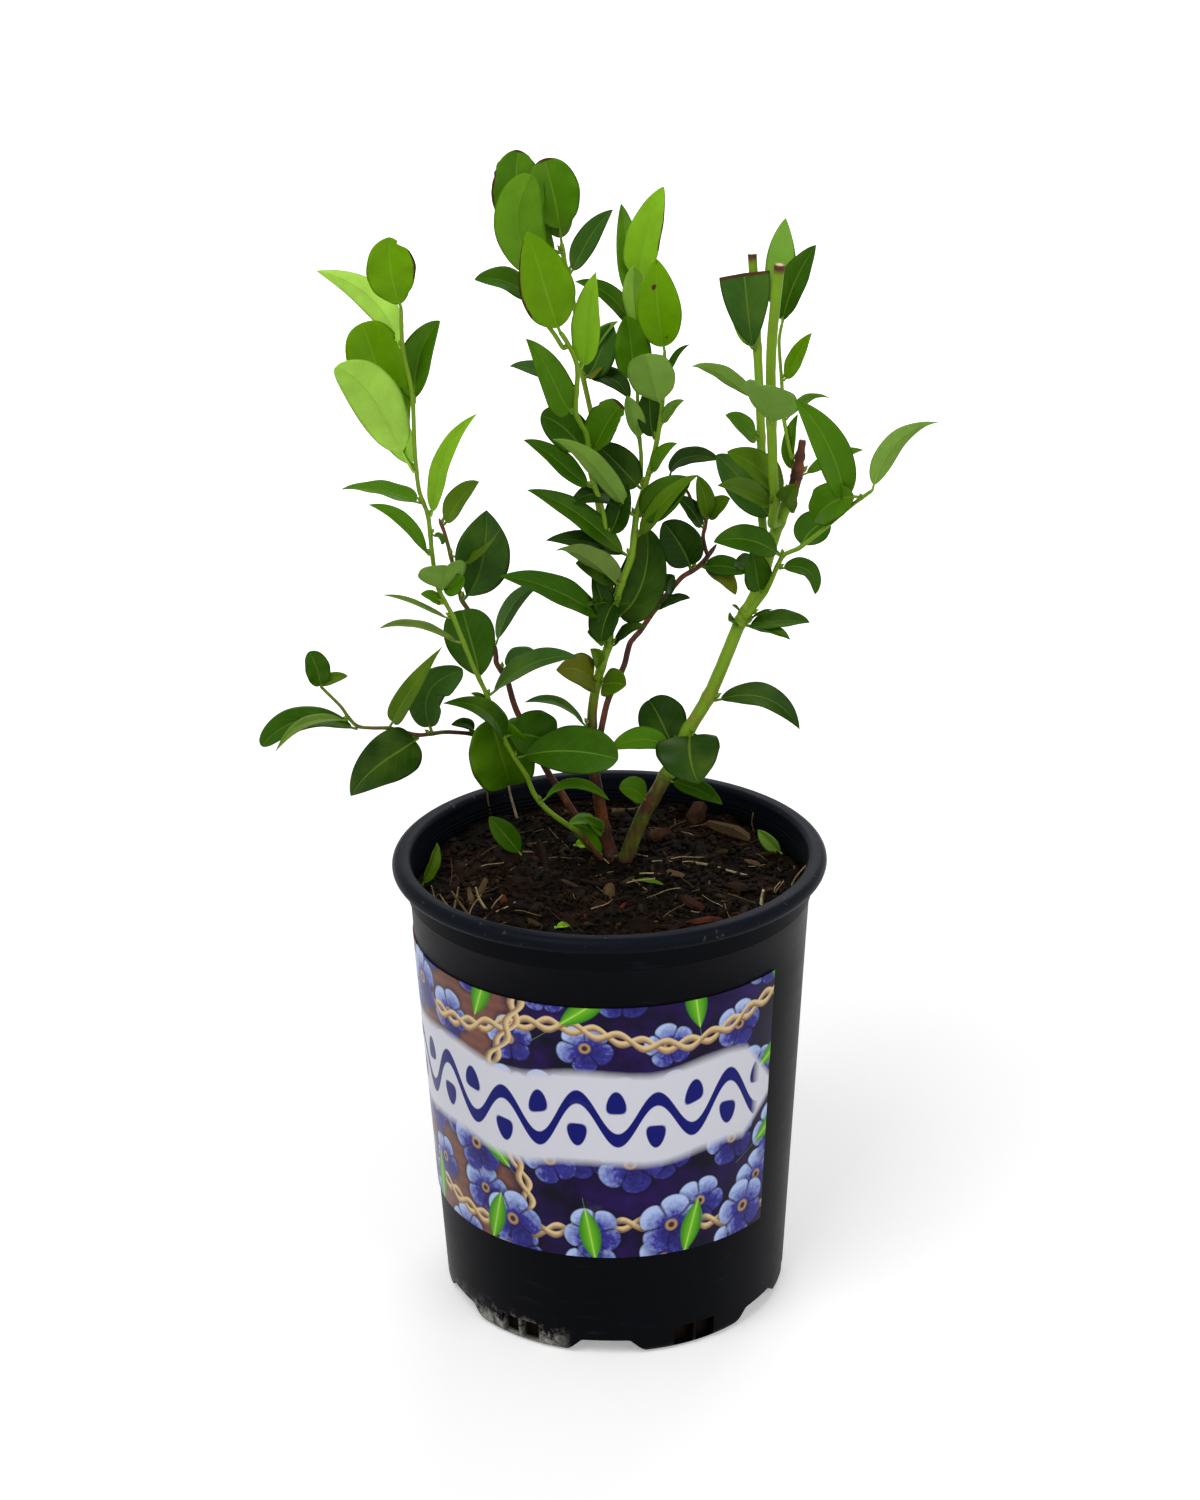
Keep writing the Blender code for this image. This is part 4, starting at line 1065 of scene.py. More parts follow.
def pot_profile():
    """Closed outline of (radius, z) points, its outer side running downwards."""
    under_lip = POT_HEIGHT - LIP_HEIGHT
    roll = LIP_HEIGHT / 2
    floor_top = FLOOR_UNDERSIDE + FLOOR
    outline = arc(LIP_RADIUS - roll, POT_HEIGHT - roll, roll, 90, -70, 14)
    outline += [(WALL_TOP_RADIUS + 1.2, under_lip + 0.1), (WALL_TOP_RADIUS + 0.4, under_lip - 0.7),
                (wall_radius(SHOULDER_Z + 1.0) + 0.9, SHOULDER_Z + 1.0),
                (wall_radius(SHOULDER_Z) + 0.1, SHOULDER_Z)]
    outline += [(wall_radius(z), z) for z in (150, 100, 50)]
    outline += arc(BASE_RADIUS - BASE_CORNER, BASE_CORNER, BASE_CORNER, 0, -90, 8)
    ring_inside = BASE_RADIUS - BASE_CORNER - 2.0
    outline += [(ring_inside, 0), (ring_inside - 1.0, FLOOR_UNDERSIDE),
                (PAD_RADIUS + 2.0, FLOOR_UNDERSIDE), (PAD_RADIUS, 0), (0, 0), (0, floor_top)]
    inner_corner = BASE_CORNER - 0.5
    outline += arc(wall_radius(floor_top) - WALL - inner_corner, floor_top + inner_corner,
                   inner_corner, -90, 0, 6)
    inner = wall_radius(SHOULDER_Z) - WALL
    outline.append((inner, SHOULDER_Z - 3.0))
    for rib in range(INNER_RIBS):
        z = SHOULDER_Z + rib * RIB_PITCH
        crest = inner + 0.2 - RIB_DEPTH
        outline += [(inner + 0.2, z), (crest, z + 0.35 * RIB_PITCH), (crest, z + 0.6 * RIB_PITCH)]
    inner_roll = 2.4
    outline += [(LIP_BORE - 0.3, under_lip + 0.6)]
    outline += arc(LIP_BORE + inner_roll, POT_HEIGHT - inner_roll, inner_roll, 180, 90, 6)
    return outline


def arch_outline():
    """A low arch with ramped ends, as (x, z) points, open downwards past the foot."""
    half = ARCH_WIDTH / 2
    below = -5.0
    outline = [(-half, below)]
    for step in range(-ARCH_STEPS, ARCH_STEPS + 1):
        x = half * step / ARCH_STEPS
        crown = 1.0 - 0.1 * (x / half) ** 2
        rise = ramp(half - abs(x), 0.0, ARCH_RAMP)
        outline.append((x, (ARCH_HEIGHT * crown + GAP) * rise - GAP))
    outline.append((half, below))
    return outline


def add_cutter(bm, outline, depth, angle_deg):
    """A prism with this (x, z) outline, from outside the base inwards, turned about Z."""
    ends = []
    for y in (-BASE_RADIUS - 5.0, -BASE_RADIUS + depth):
        ends.append([bm.verts.new((x * MM, y * MM, z * MM)) for x, z in outline])
    near, far = ends
    faces = [bm.faces.new(near), bm.faces.new(far)]
    for here in range(len(outline)):
        after = (here + 1) % len(outline)
        faces.append(bm.faces.new((near[here], near[after], far[after], far[here])))
    bmesh.ops.recalc_face_normals(bm, faces=faces)
    bmesh.ops.rotate(bm, cent=(0, 0, 0), verts=near + far,
                     matrix=Matrix.Rotation(math.radians(angle_deg), 3, "Z"))


def build_pot():
    """The shell turned in one, with its arches and pairs of drains cut through the foot."""
    points, faces = turned(pot_profile(), POT_STEPS)
    shell = bpy.data.meshes.new("pot_shell")
    shell.from_pydata([(x * MM, y * MM, z * MM) for x, y, z in points], [], faces)
    pot = add_object("pot_shell", shell)
    cuts = bmesh.new()
    half = DRAIN_WIDTH / 2
    drain = [(-half, DRAIN_BOTTOM), (half, DRAIN_BOTTOM), (half, DRAIN_TOP), (-half, DRAIN_TOP)]
    pitch = 360.0 / ARCHES
    for index in range(ARCHES):
        add_cutter(cuts, arch_outline(), ARCH_DEPTH, FOOT_TURN_DEG + index * pitch)
        for side in (-1, 1):
            add_cutter(cuts, drain, DRAIN_DEPTH,
                       FOOT_TURN_DEG + (index + 0.5) * pitch + side * DRAIN_PITCH_DEG / 2)
    cutter = add_object("foot_cuts", mesh_of(cuts, "foot_cuts"))
    change = pot.modifiers.new("foot", "BOOLEAN")
    change.operation = "DIFFERENCE"
    change.solver = "EXACT"
    change.object = cutter
    graph = bpy.context.evaluated_depsgraph_get()
    cut_shell = bpy.data.meshes.new_from_object(pot.evaluated_get(graph))
    pot.modifiers.clear()
    pot.data = cut_shell
    bpy.data.objects.remove(cutter, do_unlink=True)
    cut_shell.materials.append(pot_finish())
    cut_shell.shade_smooth()
    cut_shell.set_sharp_from_angle(angle=math.radians(38))
    place_piece(pot, "pot_plastic", "nursery_pot")


def build_label():
    """A film wrapped round the wall, with thin closed edges."""
    span = math.radians(LABEL_TO_DEG - LABEL_FROM_DEG)
    middle_radius = wall_radius((LABEL_BOTTOM + LABEL_TOP) / 2)
    points = []
    spots = []
    for lift, rippled in ((LABEL_LIFT + LABEL_THICK, 1.0), (LABEL_LIFT * 0.4, 0.0)):
        for row in range(LABEL_ROWS + 1):
            z = LABEL_BOTTOM + (LABEL_TOP - LABEL_BOTTOM) * row / LABEL_ROWS
            for column in range(LABEL_COLUMNS + 1):
                share = column / LABEL_COLUMNS
                angle = math.radians(LABEL_FROM_DEG) + span * share
                ripple = LABEL_RIPPLE * noise.noise(Vector((share * 9.0, z * 0.05, 0.0)))
                radius = wall_radius(z) + lift + ripple * rippled
                points.append(Vector((radius * math.sin(angle), -radius * math.cos(angle), z)))
                spots.append((span * share * middle_radius, z - LABEL_BOTTOM, 0.0))
    width = LABEL_COLUMNS + 1
    back = width * (LABEL_ROWS + 1)
    faces = grid_faces(LABEL_ROWS, LABEL_COLUMNS)
    faces += [[back + quad[corner] for corner in (0, 3, 2, 1)] for quad in faces]
    border = list(range(width))
    border += [row * width + LABEL_COLUMNS for row in range(1, LABEL_ROWS + 1)]
    border += [LABEL_ROWS * width + column for column in range(LABEL_COLUMNS - 1, -1, -1)]
    border += [row * width for row in range(LABEL_ROWS - 1, 0, -1)]
    for at, after in zip(border, border[1:] + border[:1]):
        faces.append([at, back + at, back + after, after])
    shells = Shells()
    shells.add(points, faces, spots)
    place_piece(shells.piece("printed_label", [label_finish()], 40), "label_film", "pot_label")


# ---------------------------------------------------------------- mix
def soil_height(x, y):
    """Height of the mix's surface, lumpy, slightly mounded in the middle."""
    edge = min(math.hypot(x, y) / SOIL_RADIUS, 1.0)
    base = SOIL_TOP + (SOIL_EDGE - SOIL_TOP) * edge ** 3 + SOIL_BANK * ramp(y, 5.0, 62.0)
    lumps = noise.fractal(Vector((x, y, 5.0)) * LUMP_SCALE, 0.8, 2.1, 4) * LUMP_HEIGHT
    grit = noise.fractal(Vector((x, y, 9.0)) * GRIT_SCALE, 0.7, 2.2, 3) * GRIT_HEIGHT
    return min(base + lumps + grit, POT_HEIGHT - SOIL_BELOW_RIM)


def build_soil(earth):
    """The mix as one closed body: a lumpy top, the sides inside the wall, and a flat bottom."""
    profile = [(0, soil_height)]
    for ring in range(SOIL_RINGS):
        share = (ring / SOIL_RINGS) ** 0.85
        profile.append((FIRST_RING + (LAST_RING - FIRST_RING) * share, soil_height))
    bottom = FLOOR_UNDERSIDE + FLOOR + GAP
    profile += [(inside_radius(SOIL_EDGE), soil_height), (inside_radius(120), 120.0),
                (inside_radius(30), 30.0), (inside_radius(bottom) - 0.5, bottom + 5),
                (62.0, bottom), (0, bottom)]
    points, faces = turned(profile, SOIL_STEPS)
    shells = Shells()
    shells.add(points, faces, [(x * 0.1, y * 0.1, 0.35) for x, y, _ in points])
    place_piece(shells.piece("mix_surface", [earth]), "growing_mix", "potting_mix")


def add_chip(shells, centre, size, heading, tilt, roll, rng):
    """A splinter of bark: a ragged flattened bar with pointed or broken ends."""
    length, width, thick = size
    turn = (Matrix.Rotation(heading, 3, "Z") @ Matrix.Rotation(tilt, 3, "Y")
            @ Matrix.Rotation(roll, 3, "X"))
    which = rng.random()
    points = []
    spots = []
    for station in CHIP_STATIONS:
        taper = (1.0 - (abs(station) * 2) ** 4) * 0.75 + 0.15 * rng.random() + 0.12
        drift = rng.uniform(-0.12, 0.12) * width
        for step in range(CHIP_RING):
            angle = math.tau * step / CHIP_RING
            rough = rng.uniform(0.78, 1.15)
            local = Vector((station * length, math.cos(angle) * width / 2 * taper * rough + drift,
                            math.sin(angle) * thick / 2 * taper * rough))
            points.append(Vector(centre) + turn @ local)
            spots.append((math.cos(angle), station * length * 0.3, which))
    shells.add(points, tube_faces(len(CHIP_STATIONS), CHIP_RING), spots)


def strewn_place(rng, spread):
    """A random place on the mix, as likely near its edge as in its middle."""
    radius = spread * math.sqrt(rng.random())
    angle = rng.uniform(0, math.tau)
    return radius, radius * math.cos(angle), radius * math.sin(angle)


def scatter_chips(name, finish, count, lengths, widths, thick, seed):
    """Chips strewn evenly over the mix, each lying on it at its own tilt."""
    rng = random.Random(seed)
    shells = Shells()
    while count > 0:
        radius, x, y = strewn_place(rng, CHIP_SPREAD)
        length = rng.uniform(*lengths)
        from_crown = math.hypot(x - CROWN_CENTRE[0], y - CROWN_CENTRE[1])
        on_crown = from_crown < CROWN_CLEARANCE and length > LONG_CHIP
        if radius + length / 2 > CHIP_LIMIT or on_crown:
            continue
        size = (length, rng.uniform(*widths), rng.uniform(*thick))
        z = soil_height(x, y) + size[2] * (0.5 - CHIP_SINK)
        add_chip(shells, (x, y, z), size, rng.uniform(0, math.pi), rng.uniform(-0.22, 0.22),
                 rng.uniform(-0.5, 0.5), rng)
        count -= 1
    place_piece(shells.piece(name, [finish], 32), "growing_mix")


def add_straw(shells, start, end, radius, bow, seed, sides=6):
    """A dry stalk or thin root, slightly bent."""
    rng = random.Random(seed)
    side = (end - start).cross(Vector((rng.random(), rng.random(), rng.random()))).normalized()
    spans = 7
    points = []
    for index in range(spans + 1):
        t = index / spans
        points.append(start.lerp(end, t) + side * math.sin(math.pi * t) * bow
                      + Vector((0, 0, 1)) * math.sin(math.pi * t * 2) * bow * 0.3)
    radii = [radius * (1.0 - 0.35 * index / spans) for index in range(spans + 1)]
    which = rng.random()
    spots = [(0.3, index * 0.4, which) for index in range(spans + 1)]
    add_tube(shells, points, radii, spots, sides=sides, flat=0.55)


def scatter_straws(name, finish, count, lengths, radius, seed):
    """Thin straws strewn over the mix, some with one end in the air."""
    rng = random.Random(seed)
    shells = Shells()
    for index in range(count):
        _, x, y = strewn_place(rng, STRAW_SPREAD)
        length = rng.uniform(*lengths)
        heading = rng.uniform(0, math.tau)
        rise = rng.uniform(-0.05, 0.35)
        end = Vector((x + length * math.cos(heading), y + length * math.sin(heading), 0))
        reach = math.hypot(end.x, end.y)
        if reach > STRAW_LIMIT:
            end *= STRAW_LIMIT / reach
        start = Vector((x, y, soil_height(x, y) + 0.3))
        end.z = soil_height(end.x, end.y) + 0.5 + length * max(rise, 0)
        add_straw(shells, start, end, radius * rng.uniform(0.6, 1.3), length * 0.06, index)
    place_piece(shells.piece(name, [finish], 60), "growing_mix")


# ---------------------------------------------------------------- stems
def placed(row):
    """The point at depth y in line with (x, z) on the elevation sheet, in mm."""
    x, y, z = row
    sheet = Vector((x, 0.0, z))
    return EYE + (sheet - EYE) * ((y - EYE.y) / -EYE.y)


def spline_rows(path, per_span):
    """Rows of a smooth curve through the path's own rows (Catmull-Rom)."""
    rows = [Vector(row) for row in path]
    ends = [rows[0] * 2 - rows[1]] + rows + [rows[-1] * 2 - rows[-2]]
    smoothed = []
    for before, start, end, after in zip(ends, ends[1:], ends[2:], ends[3:]):
        for step in range(per_span):
            t = step / per_span
            smoothed.append(0.5 * (2 * start + (end - before) * t
                                   + (2 * before - 5 * start + 4 * end - after) * t ** 2
                                   + (3 * start - before - 3 * end + after) * t ** 3))
    smoothed.append(rows[-1])
    return smoothed


def read_ages(pairs, share):
    for (low, before), (high, after) in zip(pairs, pairs[1:]):
        if share <= high:
            return before + (after - before) * (share - low) / (high - low)
    return pairs[-1][1]


def add_bud(shells, node, rng):
    """A pointed bud between a leaf's stalk and the stem; a quarter of the nodes have none."""
    point, along, out, radius = node
    if rng.random() < 0.25 or radius < 0.6:
        return
    size = 0.55 + 0.22 * radius
    base = point + out * (radius * 0.75) + along * 0.8
    tip = base + (along * 0.85 + out * 0.55).normalized() * size * 3.6
    last = len(BUD_PROFILE) - 1
    points = [base.lerp(tip, index / last) for index in range(last + 1)]
    radii = [size * value for value in BUD_PROFILE]
    add_tube(shells, points, radii, [(0.25, 1.0, 0.0)] * (last + 1), [0.25] * (last + 1))


class Stem:
    """A shoot's centre line: rows on the elevation sheet, real points and radii, all in mm."""

    def __init__(self, shoot, parent):
        self.name = shoot.name
        self.reach = shoot.reach
        self.rows = spline_rows(shoot.path, 2)
        self.points = [placed(row) for row in self.rows]
        self.last = len(self.points) - 1
        start, end = shoot.radii
        self.radii = [start + (end - start) * (i / self.last) ** 0.7 for i in range(self.last + 1)]
        self.nodes = []
        self.ends_in_leaf = False
        self.seat(parent)

    def seat(self, parent):
        """Start the stem square on its parent's surface, or on the crown's."""
        if parent is None:
            base = Vector(CROWN_CENTRE)
            out = (self.points[1] - base).normalized()
            off = CROWN_RADIUS + GAP
        else:
            index = parent.nearest(self.points[0])
            base = parent.points[index]
            along = parent.tangent(index)
            out = self.points[2] - base
            out = (out - along * out.dot(along)).normalized()
            off = parent.radii[index] + GAP
        first = base + out * off
        self.points[0] = first
        self.points[1] = first + out * self.radii[0] * 1.3
        self.root = first - out * (GAP + self.radii[0] * 0.6)

    def nearest(self, point):
        return min(range(1, self.last + 1), key=lambda i: (self.points[i] - point).length)

    def tangent(self, index):
        return (self.points[min(index + 1, self.last)] - self.points[max(index - 1, 0)]).normalized()

    def row_at(self, reach):
        """Number of the row whose own coordinate is nearest to reach, short of both ends."""
        return min(range(2, self.last), key=lambda i: abs(self.rows[i][self.reach] - reach))

    def foot(self, leaf):
        """Where a leaf's stalk starts, and the direction in which it leaves the stem."""
        if leaf.foot == END:
            self.ends_in_leaf = True
            along = self.tangent(self.last)
            return self.points[self.last] + along * PETIOLE_GAP, along
        index = self.row_at(leaf.foot)
        along = self.tangent(index)
        out = placed(leaf.tip) - self.points[index]
        out = (out - along * out.dot(along)).normalized()
        self.nodes.append((self.points[index], along, out, self.radii[index]))
        return self.points[index] + out * (self.radii[index] + PETIOLE_GAP), out

    def skin(self, finish):
        """The stem's own mesh: swollen nodes, buds in the leaf axils, and its kind of end."""
        line = spline_rows([self.root] + self.points, 5)
        count = len(line) - 1
        ages = AGEING.get(self.name, ((0, 0.0), (1, 0.0)))
        radii = []
        spots = []
        wears = []
        rng = random.Random(len(self.name) * 7 + count)
        for index, point in enumerate(line):
            share = index / count
            place = min(share * (self.last + 1) - 1, self.last)     # the root is point -1
            low = max(int(place), 0)
            high = min(low + 1, self.last)
            mix = max(place - low, 0.0)
            radius = self.radii[low] * (1 - mix) + self.radii[high] * mix
            nearest = min(((point - node[0]).length for node in self.nodes), default=FAR)
            swell = math.exp(-(nearest / NODE_LENGTH) ** 2)
            collar = COLLAR_SWELL * math.exp(-(index / COLLAR_POINTS) ** 2)
            radii.append(radius * (1 + NODE_SWELL * swell + collar))
            spots.append((bump_at(nearest, 0.9, 0.45) * 0.5, share * 10.0, 0.0))
            wears.append(read_ages(ages, share))
        if self.name in CUT_SHOOTS:
            self.flat_cut(line, radii, spots, wears)
        elif self.name in BROKEN_SHOOTS:
            for index in range(FRAYED + 1):
                radii[index - FRAYED - 1] *= 1 - 0.25 * index / FRAYED + rng.uniform(-0.14, 0.14)
        elif self.ends_in_leaf:
            radii[-1] *= 0.8
        else:
            for back, scale in enumerate((0.25, 0.6, 0.85)):
                radii[-1 - back] *= scale
        shells = Shells()
        add_tube(shells, line, radii, spots, wears, STEM_SIDES, lump=0.05, seed=count * 0.37)
        for node in self.nodes:
            add_bud(shells, node, rng)
        return shells.piece(self.name + "_bark", [finish], 60)

    def flat_cut(self, line, radii, spots, wears):
        """A pruned end: browned rim and a pale pith on a flat face."""
        last = line[-1]
        along = self.tangent(self.last)
        for index in range(-BROWNED, 0):
            back = (line[index] - last).length
            wears[index] = max(wears[index], 1.0 - ramp(back, 0.5, 4.5))
        for lift, scale, pith, brown in CUT_RINGS:
            line.append(last + along * lift)
            radii.append(radii[-1] * scale)
            spots.append((0.0, 10.0, pith))
            wears.append(brown)


# ---------------------------------------------------------------- leaves
def leaf_form(plumpness):
    """How blunt the base and the tip are, for a blade of this width against its length."""
    round_part = ramp(plumpness, 0.3, 0.7)
    return 0.70 - 0.20 * round_part, 0.88 - 0.34 * round_part


def leaf_outline(share, form):
    """Half width at a share of the blade's length, as part of the widest."""
    base_power, tip_power = form
    widest = base_power / (base_power + tip_power)
    peak = widest ** base_power * (1 - widest) ** tip_power
    return share ** base_power * (1 - share) ** tip_power / peak


def leaf_frame(foot, tip, turn_deg):
    """Direction in which a leaf's arch rises as EYE sees it, and the normal of its upper face."""
    axis = (tip - foot).normalized()
    front = (EYE - (foot + tip) / 2).normalized()
    front = (front - axis * front.dot(axis)).normalized()
    up = axis.cross(front)
    if axis.x > 0:
        up = -up
    turn = math.radians(turn_deg)
    return up, front * math.cos(turn) + up * math.sin(turn)


class Blade:
    """One leaf: the line of its midrib, and the surface that spreads from it."""

    def __init__(self, width, seed, quirk):
        self.width = width
        self.seed = seed
        self.quirk = quirk
        self.stalk = quirk.get("stalk", PETIOLE_SHARE)
        self.stop = quirk.get("cut", 1.0)
        rng = random.Random(seed)
        self.cup = LEAF_CUP * rng.uniform(0.75, 1.25) + quirk.get("fold", 0.0)
        self.wave = rng.uniform(0.02, 0.09)
        self.wave_count = rng.uniform(1.6, 3.2)
        self.phases = (rng.uniform(0, math.tau), rng.uniform(0, math.tau))
        self.lean = rng.uniform(-0.06, 0.06)
        self.twist = math.radians(rng.uniform(-11, 11))
        self.pucker = rng.uniform(0.05, 0.12)

    def hang(self, foot, out, leaf):
        """Spread the leaf from its foot on a stem to its tip, arched and turned as its row says."""
        tip = placed(leaf.tip)
        chord = tip - foot
        axis = chord.normalized()
        self.length = chord.length
        self.form = self.quirk.get("form", leaf_form(self.width / self.length))
        up, self.normal = leaf_frame(foot, tip, leaf.turn)
        rise = (up * leaf.arch + self.normal * LEAF_BOW) * self.length
        first = foot + out * 0.11 * self.length + axis * 0.20 * self.length + rise * 1.1
        second = foot + axis * 0.65 * self.length + rise * 1.5
        self.line = interpolate_bezier(foot, first, second, tip, LINE_POINTS)
        self.root = foot - out * (PETIOLE_GAP + 0.4)

    def lie(self, foot, tip, face):
        """Lay the leaf from foot to tip with its upper side towards face."""
        chord = tip - foot
        axis = chord.normalized()
        self.length = chord.length
        self.form = leaf_form(0.0)
        self.normal = (face - axis * face.dot(axis)).normalized()
        rise = self.normal * LEAF_BOW * 2 * self.length
        self.line = interpolate_bezier(foot, foot + chord * 0.3 + rise, foot + chord * 0.7 + rise,
                                       tip, LINE_POINTS)
        self.root = foot - axis * 0.6

    def at(self, station):
        """Midrib point, direction across the blade and direction of its upper side."""
        last = LINE_POINTS - 1
        index = min(max(station, 0.0), 1.0) * last
        low = min(int(index), last - 1)
        centre = self.line[low].lerp(self.line[low + 1], index - low)
        along = (self.line[min(low + 2, last)] - self.line[max(low - 1, 0)]).normalized()
        across = along.cross(self.normal).normalized()
        across = Matrix.Rotation(self.twist * (station - 0.45), 3, along) @ across
        return centre, across, across.cross(along)

    def half_width(self, share, side):
        """Half the blade's width on one side, where bites and ragged margins take some away."""
        half = self.width / 2 * leaf_outline(share, self.form) * (1.0 + self.lean * side)
        if "bite" in self.quirk:
            where, depth, reach, bitten = self.quirk["bite"]
            if side == bitten:
                half *= 1.0 - depth * bump_at(share, where, reach)
        if "ragged" in self.quirk:
            rough = noise.noise(Vector((share * 14.0, side * 5.0, self.seed)))
            half *= 1.0 + self.quirk["ragged"] * rough * 2.0 * ramp(share, 0.5, 0.8)
        return max(half, 0.14)

    def wear(self, share, across):
        """How withered the blade is at this place."""
        brown = 0.0
        if "burnt_tip" in self.quirk:
            start = self.quirk["burnt_tip"] * self.stop
            brown = max(brown, ramp(share, start - 0.03, start + 0.02))
        if "burnt_edge" in self.quirk:
            side, low, high = self.quirk["burnt_edge"]
            if low < share < high:
                brown = max(brown, ramp(across * side, 0.80, 1.0))
        for where, off, radius in self.quirk.get("spots", ()):
            dx = (share - where) * self.length
            dy = (across - off) * self.width / 2
            brown = max(brown, 1.0 - ramp(math.hypot(dx, dy) / radius, 0.6, 1.3))
        return brown

    def lift(self, share, half, edge, side):
        """Rise over the midrib: cup, waves, pucker between the veins and the midrib's groove."""
        cup = self.cup * half * edge ** 1.25
        waving = (self.wave * half * edge ** 2
                  * math.sin(math.tau * self.wave_count * share + self.phases[(side + 1) // 2]))
        phase = share * VEIN_PHASE - edge ** 0.85 * VEIN_SWEEP
        pucker = (self.pucker * min(half / 5.0, 1.0) * edge * (1 - edge) * 4
                  * math.cos(math.tau * phase) * -0.5)
        groove = -0.22 * math.exp(-(edge * half / 0.8) ** 2)
        return cup + waving + pucker + groove

    def add_to(self, shells, stations, lanes, slots):
        """Add the blade's two layers, joined along the margin, and its stalk."""
        which = random.Random(self.seed * 3 + 1).random()
        slope = math.atan(self.cup)
        upper = []
        lower = []
        spots = []
        wears = []
        under = []              # number of each place's point on the underside
        count = (stations + 1) * (2 * lanes + 1)
        for row in range(stations + 1):
            share = (0.5 - 0.5 * math.cos(math.pi * row / stations)) * self.stop
            centre, across_way, rise_way = self.at(self.stalk + share * (1 - self.stalk))
            for lane in range(-lanes, lanes + 1):
                side = 1 if lane > 0 else -1
                edge = (abs(lane) / lanes) ** 1.15
                across = side * edge
                half = self.half_width(share, side)
                face_way = rise_way * math.cos(slope) - across_way * (side * math.sin(slope) * edge)
                middle = centre + across_way * (across * half)
                middle += rise_way * self.lift(share, half, edge, side)
                spots.append((across, share, which))
                wears.append(self.wear(share, across))
                if abs(lane) == lanes or row in (0, stations):
                    under.append(len(upper))
                    upper.append(middle)
                else:
                    under.append(count + len(lower))
                    upper.append(middle + face_way * (LEAF_THICK / 2))
                    lower.append(middle - face_way * (LEAF_THICK / 2))
        inner = [place for place, point in enumerate(under) if point != place]
        faces = grid_faces(stations, 2 * lanes)
        under_faces = [[under[place] for place in reversed(quad)] for quad in faces]
        shells.add(upper + lower, faces + under_faces, spots + [spots[place] for place in inner],
                   wears + [wears[place] for place in inner],
                   [slots[0]] * len(faces) + [slots[1]] * len(faces))
        self.add_stalk(shells, which, slots[1])

    def add_stalk(self, shells, which, slot):
        """The stalk, which runs on under the blade as the midrib's ridge."""
        points = [self.root]
        radii = [0.62]
        thin = min(1.0, 0.55 + self.width / 30.0)
        steps = 16
        for index in range(steps + 1):
            station = 0.92 * self.stop * index / steps
            centre, _, rise = self.at(station)
            share = max(station - self.stalk, 0.0) / (1 - self.stalk)
            radius = thin * (0.62 - 0.30 * ramp(station, 0.0, 0.25) - 0.22 * ramp(share, 0.1, 1.0))
            sunk = ramp(station, 0.5 * self.stalk, self.stalk * 1.3)
            points.append(centre - rise * sunk * (LEAF_THICK / 2 + radius * 0.45 + 0.18))
            radii.append(radius)
        add_tube(shells, points, radii, [(0.0, 0.0, which)] * len(points), sides=6, slot=slot)


# ---------------------------------------------------------------- the plant
def leaf_slot(tone):
    return "leaf_" + LEAF_SLOTS.get(tone, tone)


def leaf_materials():
    """Finishes of the upper face and the underside for each tone."""
    return {tone: (leaf_finish(f"leaf_{tone}_upper", upper, True),
                   leaf_finish(f"leaf_{tone}_under", under, False))
            for tone, (upper, under) in LEAF_COLOURS.items()}


def back_leaves(shoot, stem, rng):
    """Leaves behind a shoot's larger ones, somewhat smaller and turned at random."""
    made = []
    for leaf in shoot.leaves:
        if leaf.width < BACK_LEAST_WIDTH or shoot.name in CUT_SHOOTS:
            continue
        depth = rng.uniform(*BACK_DEPTHS)
        near = rng.uniform(0.78, 0.92)
        foot = stem.rows[-1]
        if leaf.foot != END:
            foot = min(stem.rows, key=lambda row: abs(row[stem.reach] - leaf.foot))
        x, y, z = leaf.tip
        tip = (foot[0] + (x - foot[0]) * near, max(y, foot[1]) + depth,
               foot[2] + (z - foot[2]) * near)
        turn = leaf.turn + rng.choice((0, 180))
        made.append(leaf._replace(tip=tip, width=leaf.width * BACK_SHARE * near, turn=turn))
    return made


def add_leaf(shells, stem, leaf, seed, quirk, detail, slots):
    """Grow one leaf from a stem; detail is its stations along and its lanes each way across."""
    foot, out = stem.foot(leaf)
    blade = Blade(leaf.width, seed, quirk)
    blade.hang(foot, out, leaf)
    blade.add_to(shells, *detail, slots)


def build_plant(leaf_mats, bark):
    """Every shoot: its large leaves as pieces of their own, its small ones in one, and its bark."""
    tones = list(LEAF_COLOURS)
    all_mats = [mat for tone in tones for mat in leaf_mats[tone]]
    rng = random.Random(11)
    stems = {"root_crown": None}
    for number, shoot in enumerate(SHOOTS + TWIGS):
        stem = Stem(shoot, stems[shoot.parent])
        stems[shoot.name] = stem
        for count, leaf in enumerate(shoot.leaves, 1):
            name = f"{shoot.name}_leaf_{count}"
            shells = Shells()
            add_leaf(shells, stem, leaf, number * 100 + count, QUIRKS.get(name, {}), (40, 8), (0, 1))
            blade = shells.piece(name + "_blade", leaf_mats[leaf.tone])
            place_piece(blade, leaf_slot(leaf.tone), name)
        shells = Shells()
        small = [(leaf, (26, 5)) for leaf in SMALL_LEAVES.get(shoot.name, [])]
        small += [(leaf, (22, 5)) for leaf in back_leaves(shoot, stem, rng)]
        for count, (leaf, detail) in enumerate(small):
            quirk = QUIRKS.get(f"{shoot.name}_small_{count}", {})
            slot = tones.index(leaf.tone) * 2
            add_leaf(shells, stem, leaf, number * 100 + 40 + count, quirk, detail, (slot, slot + 1))
        if small:
            place_piece(shells.piece(shoot.name + "_small_leaves", all_mats), "leaf_mid")
        bark_slot = "stem_woody" if shoot.name in WOODY_SHOOTS else "stem_green"
        stands_for = [shoot.name] if shoot in SHOOTS else []
        place_piece(stem.skin(bark), bark_slot, *stands_for)


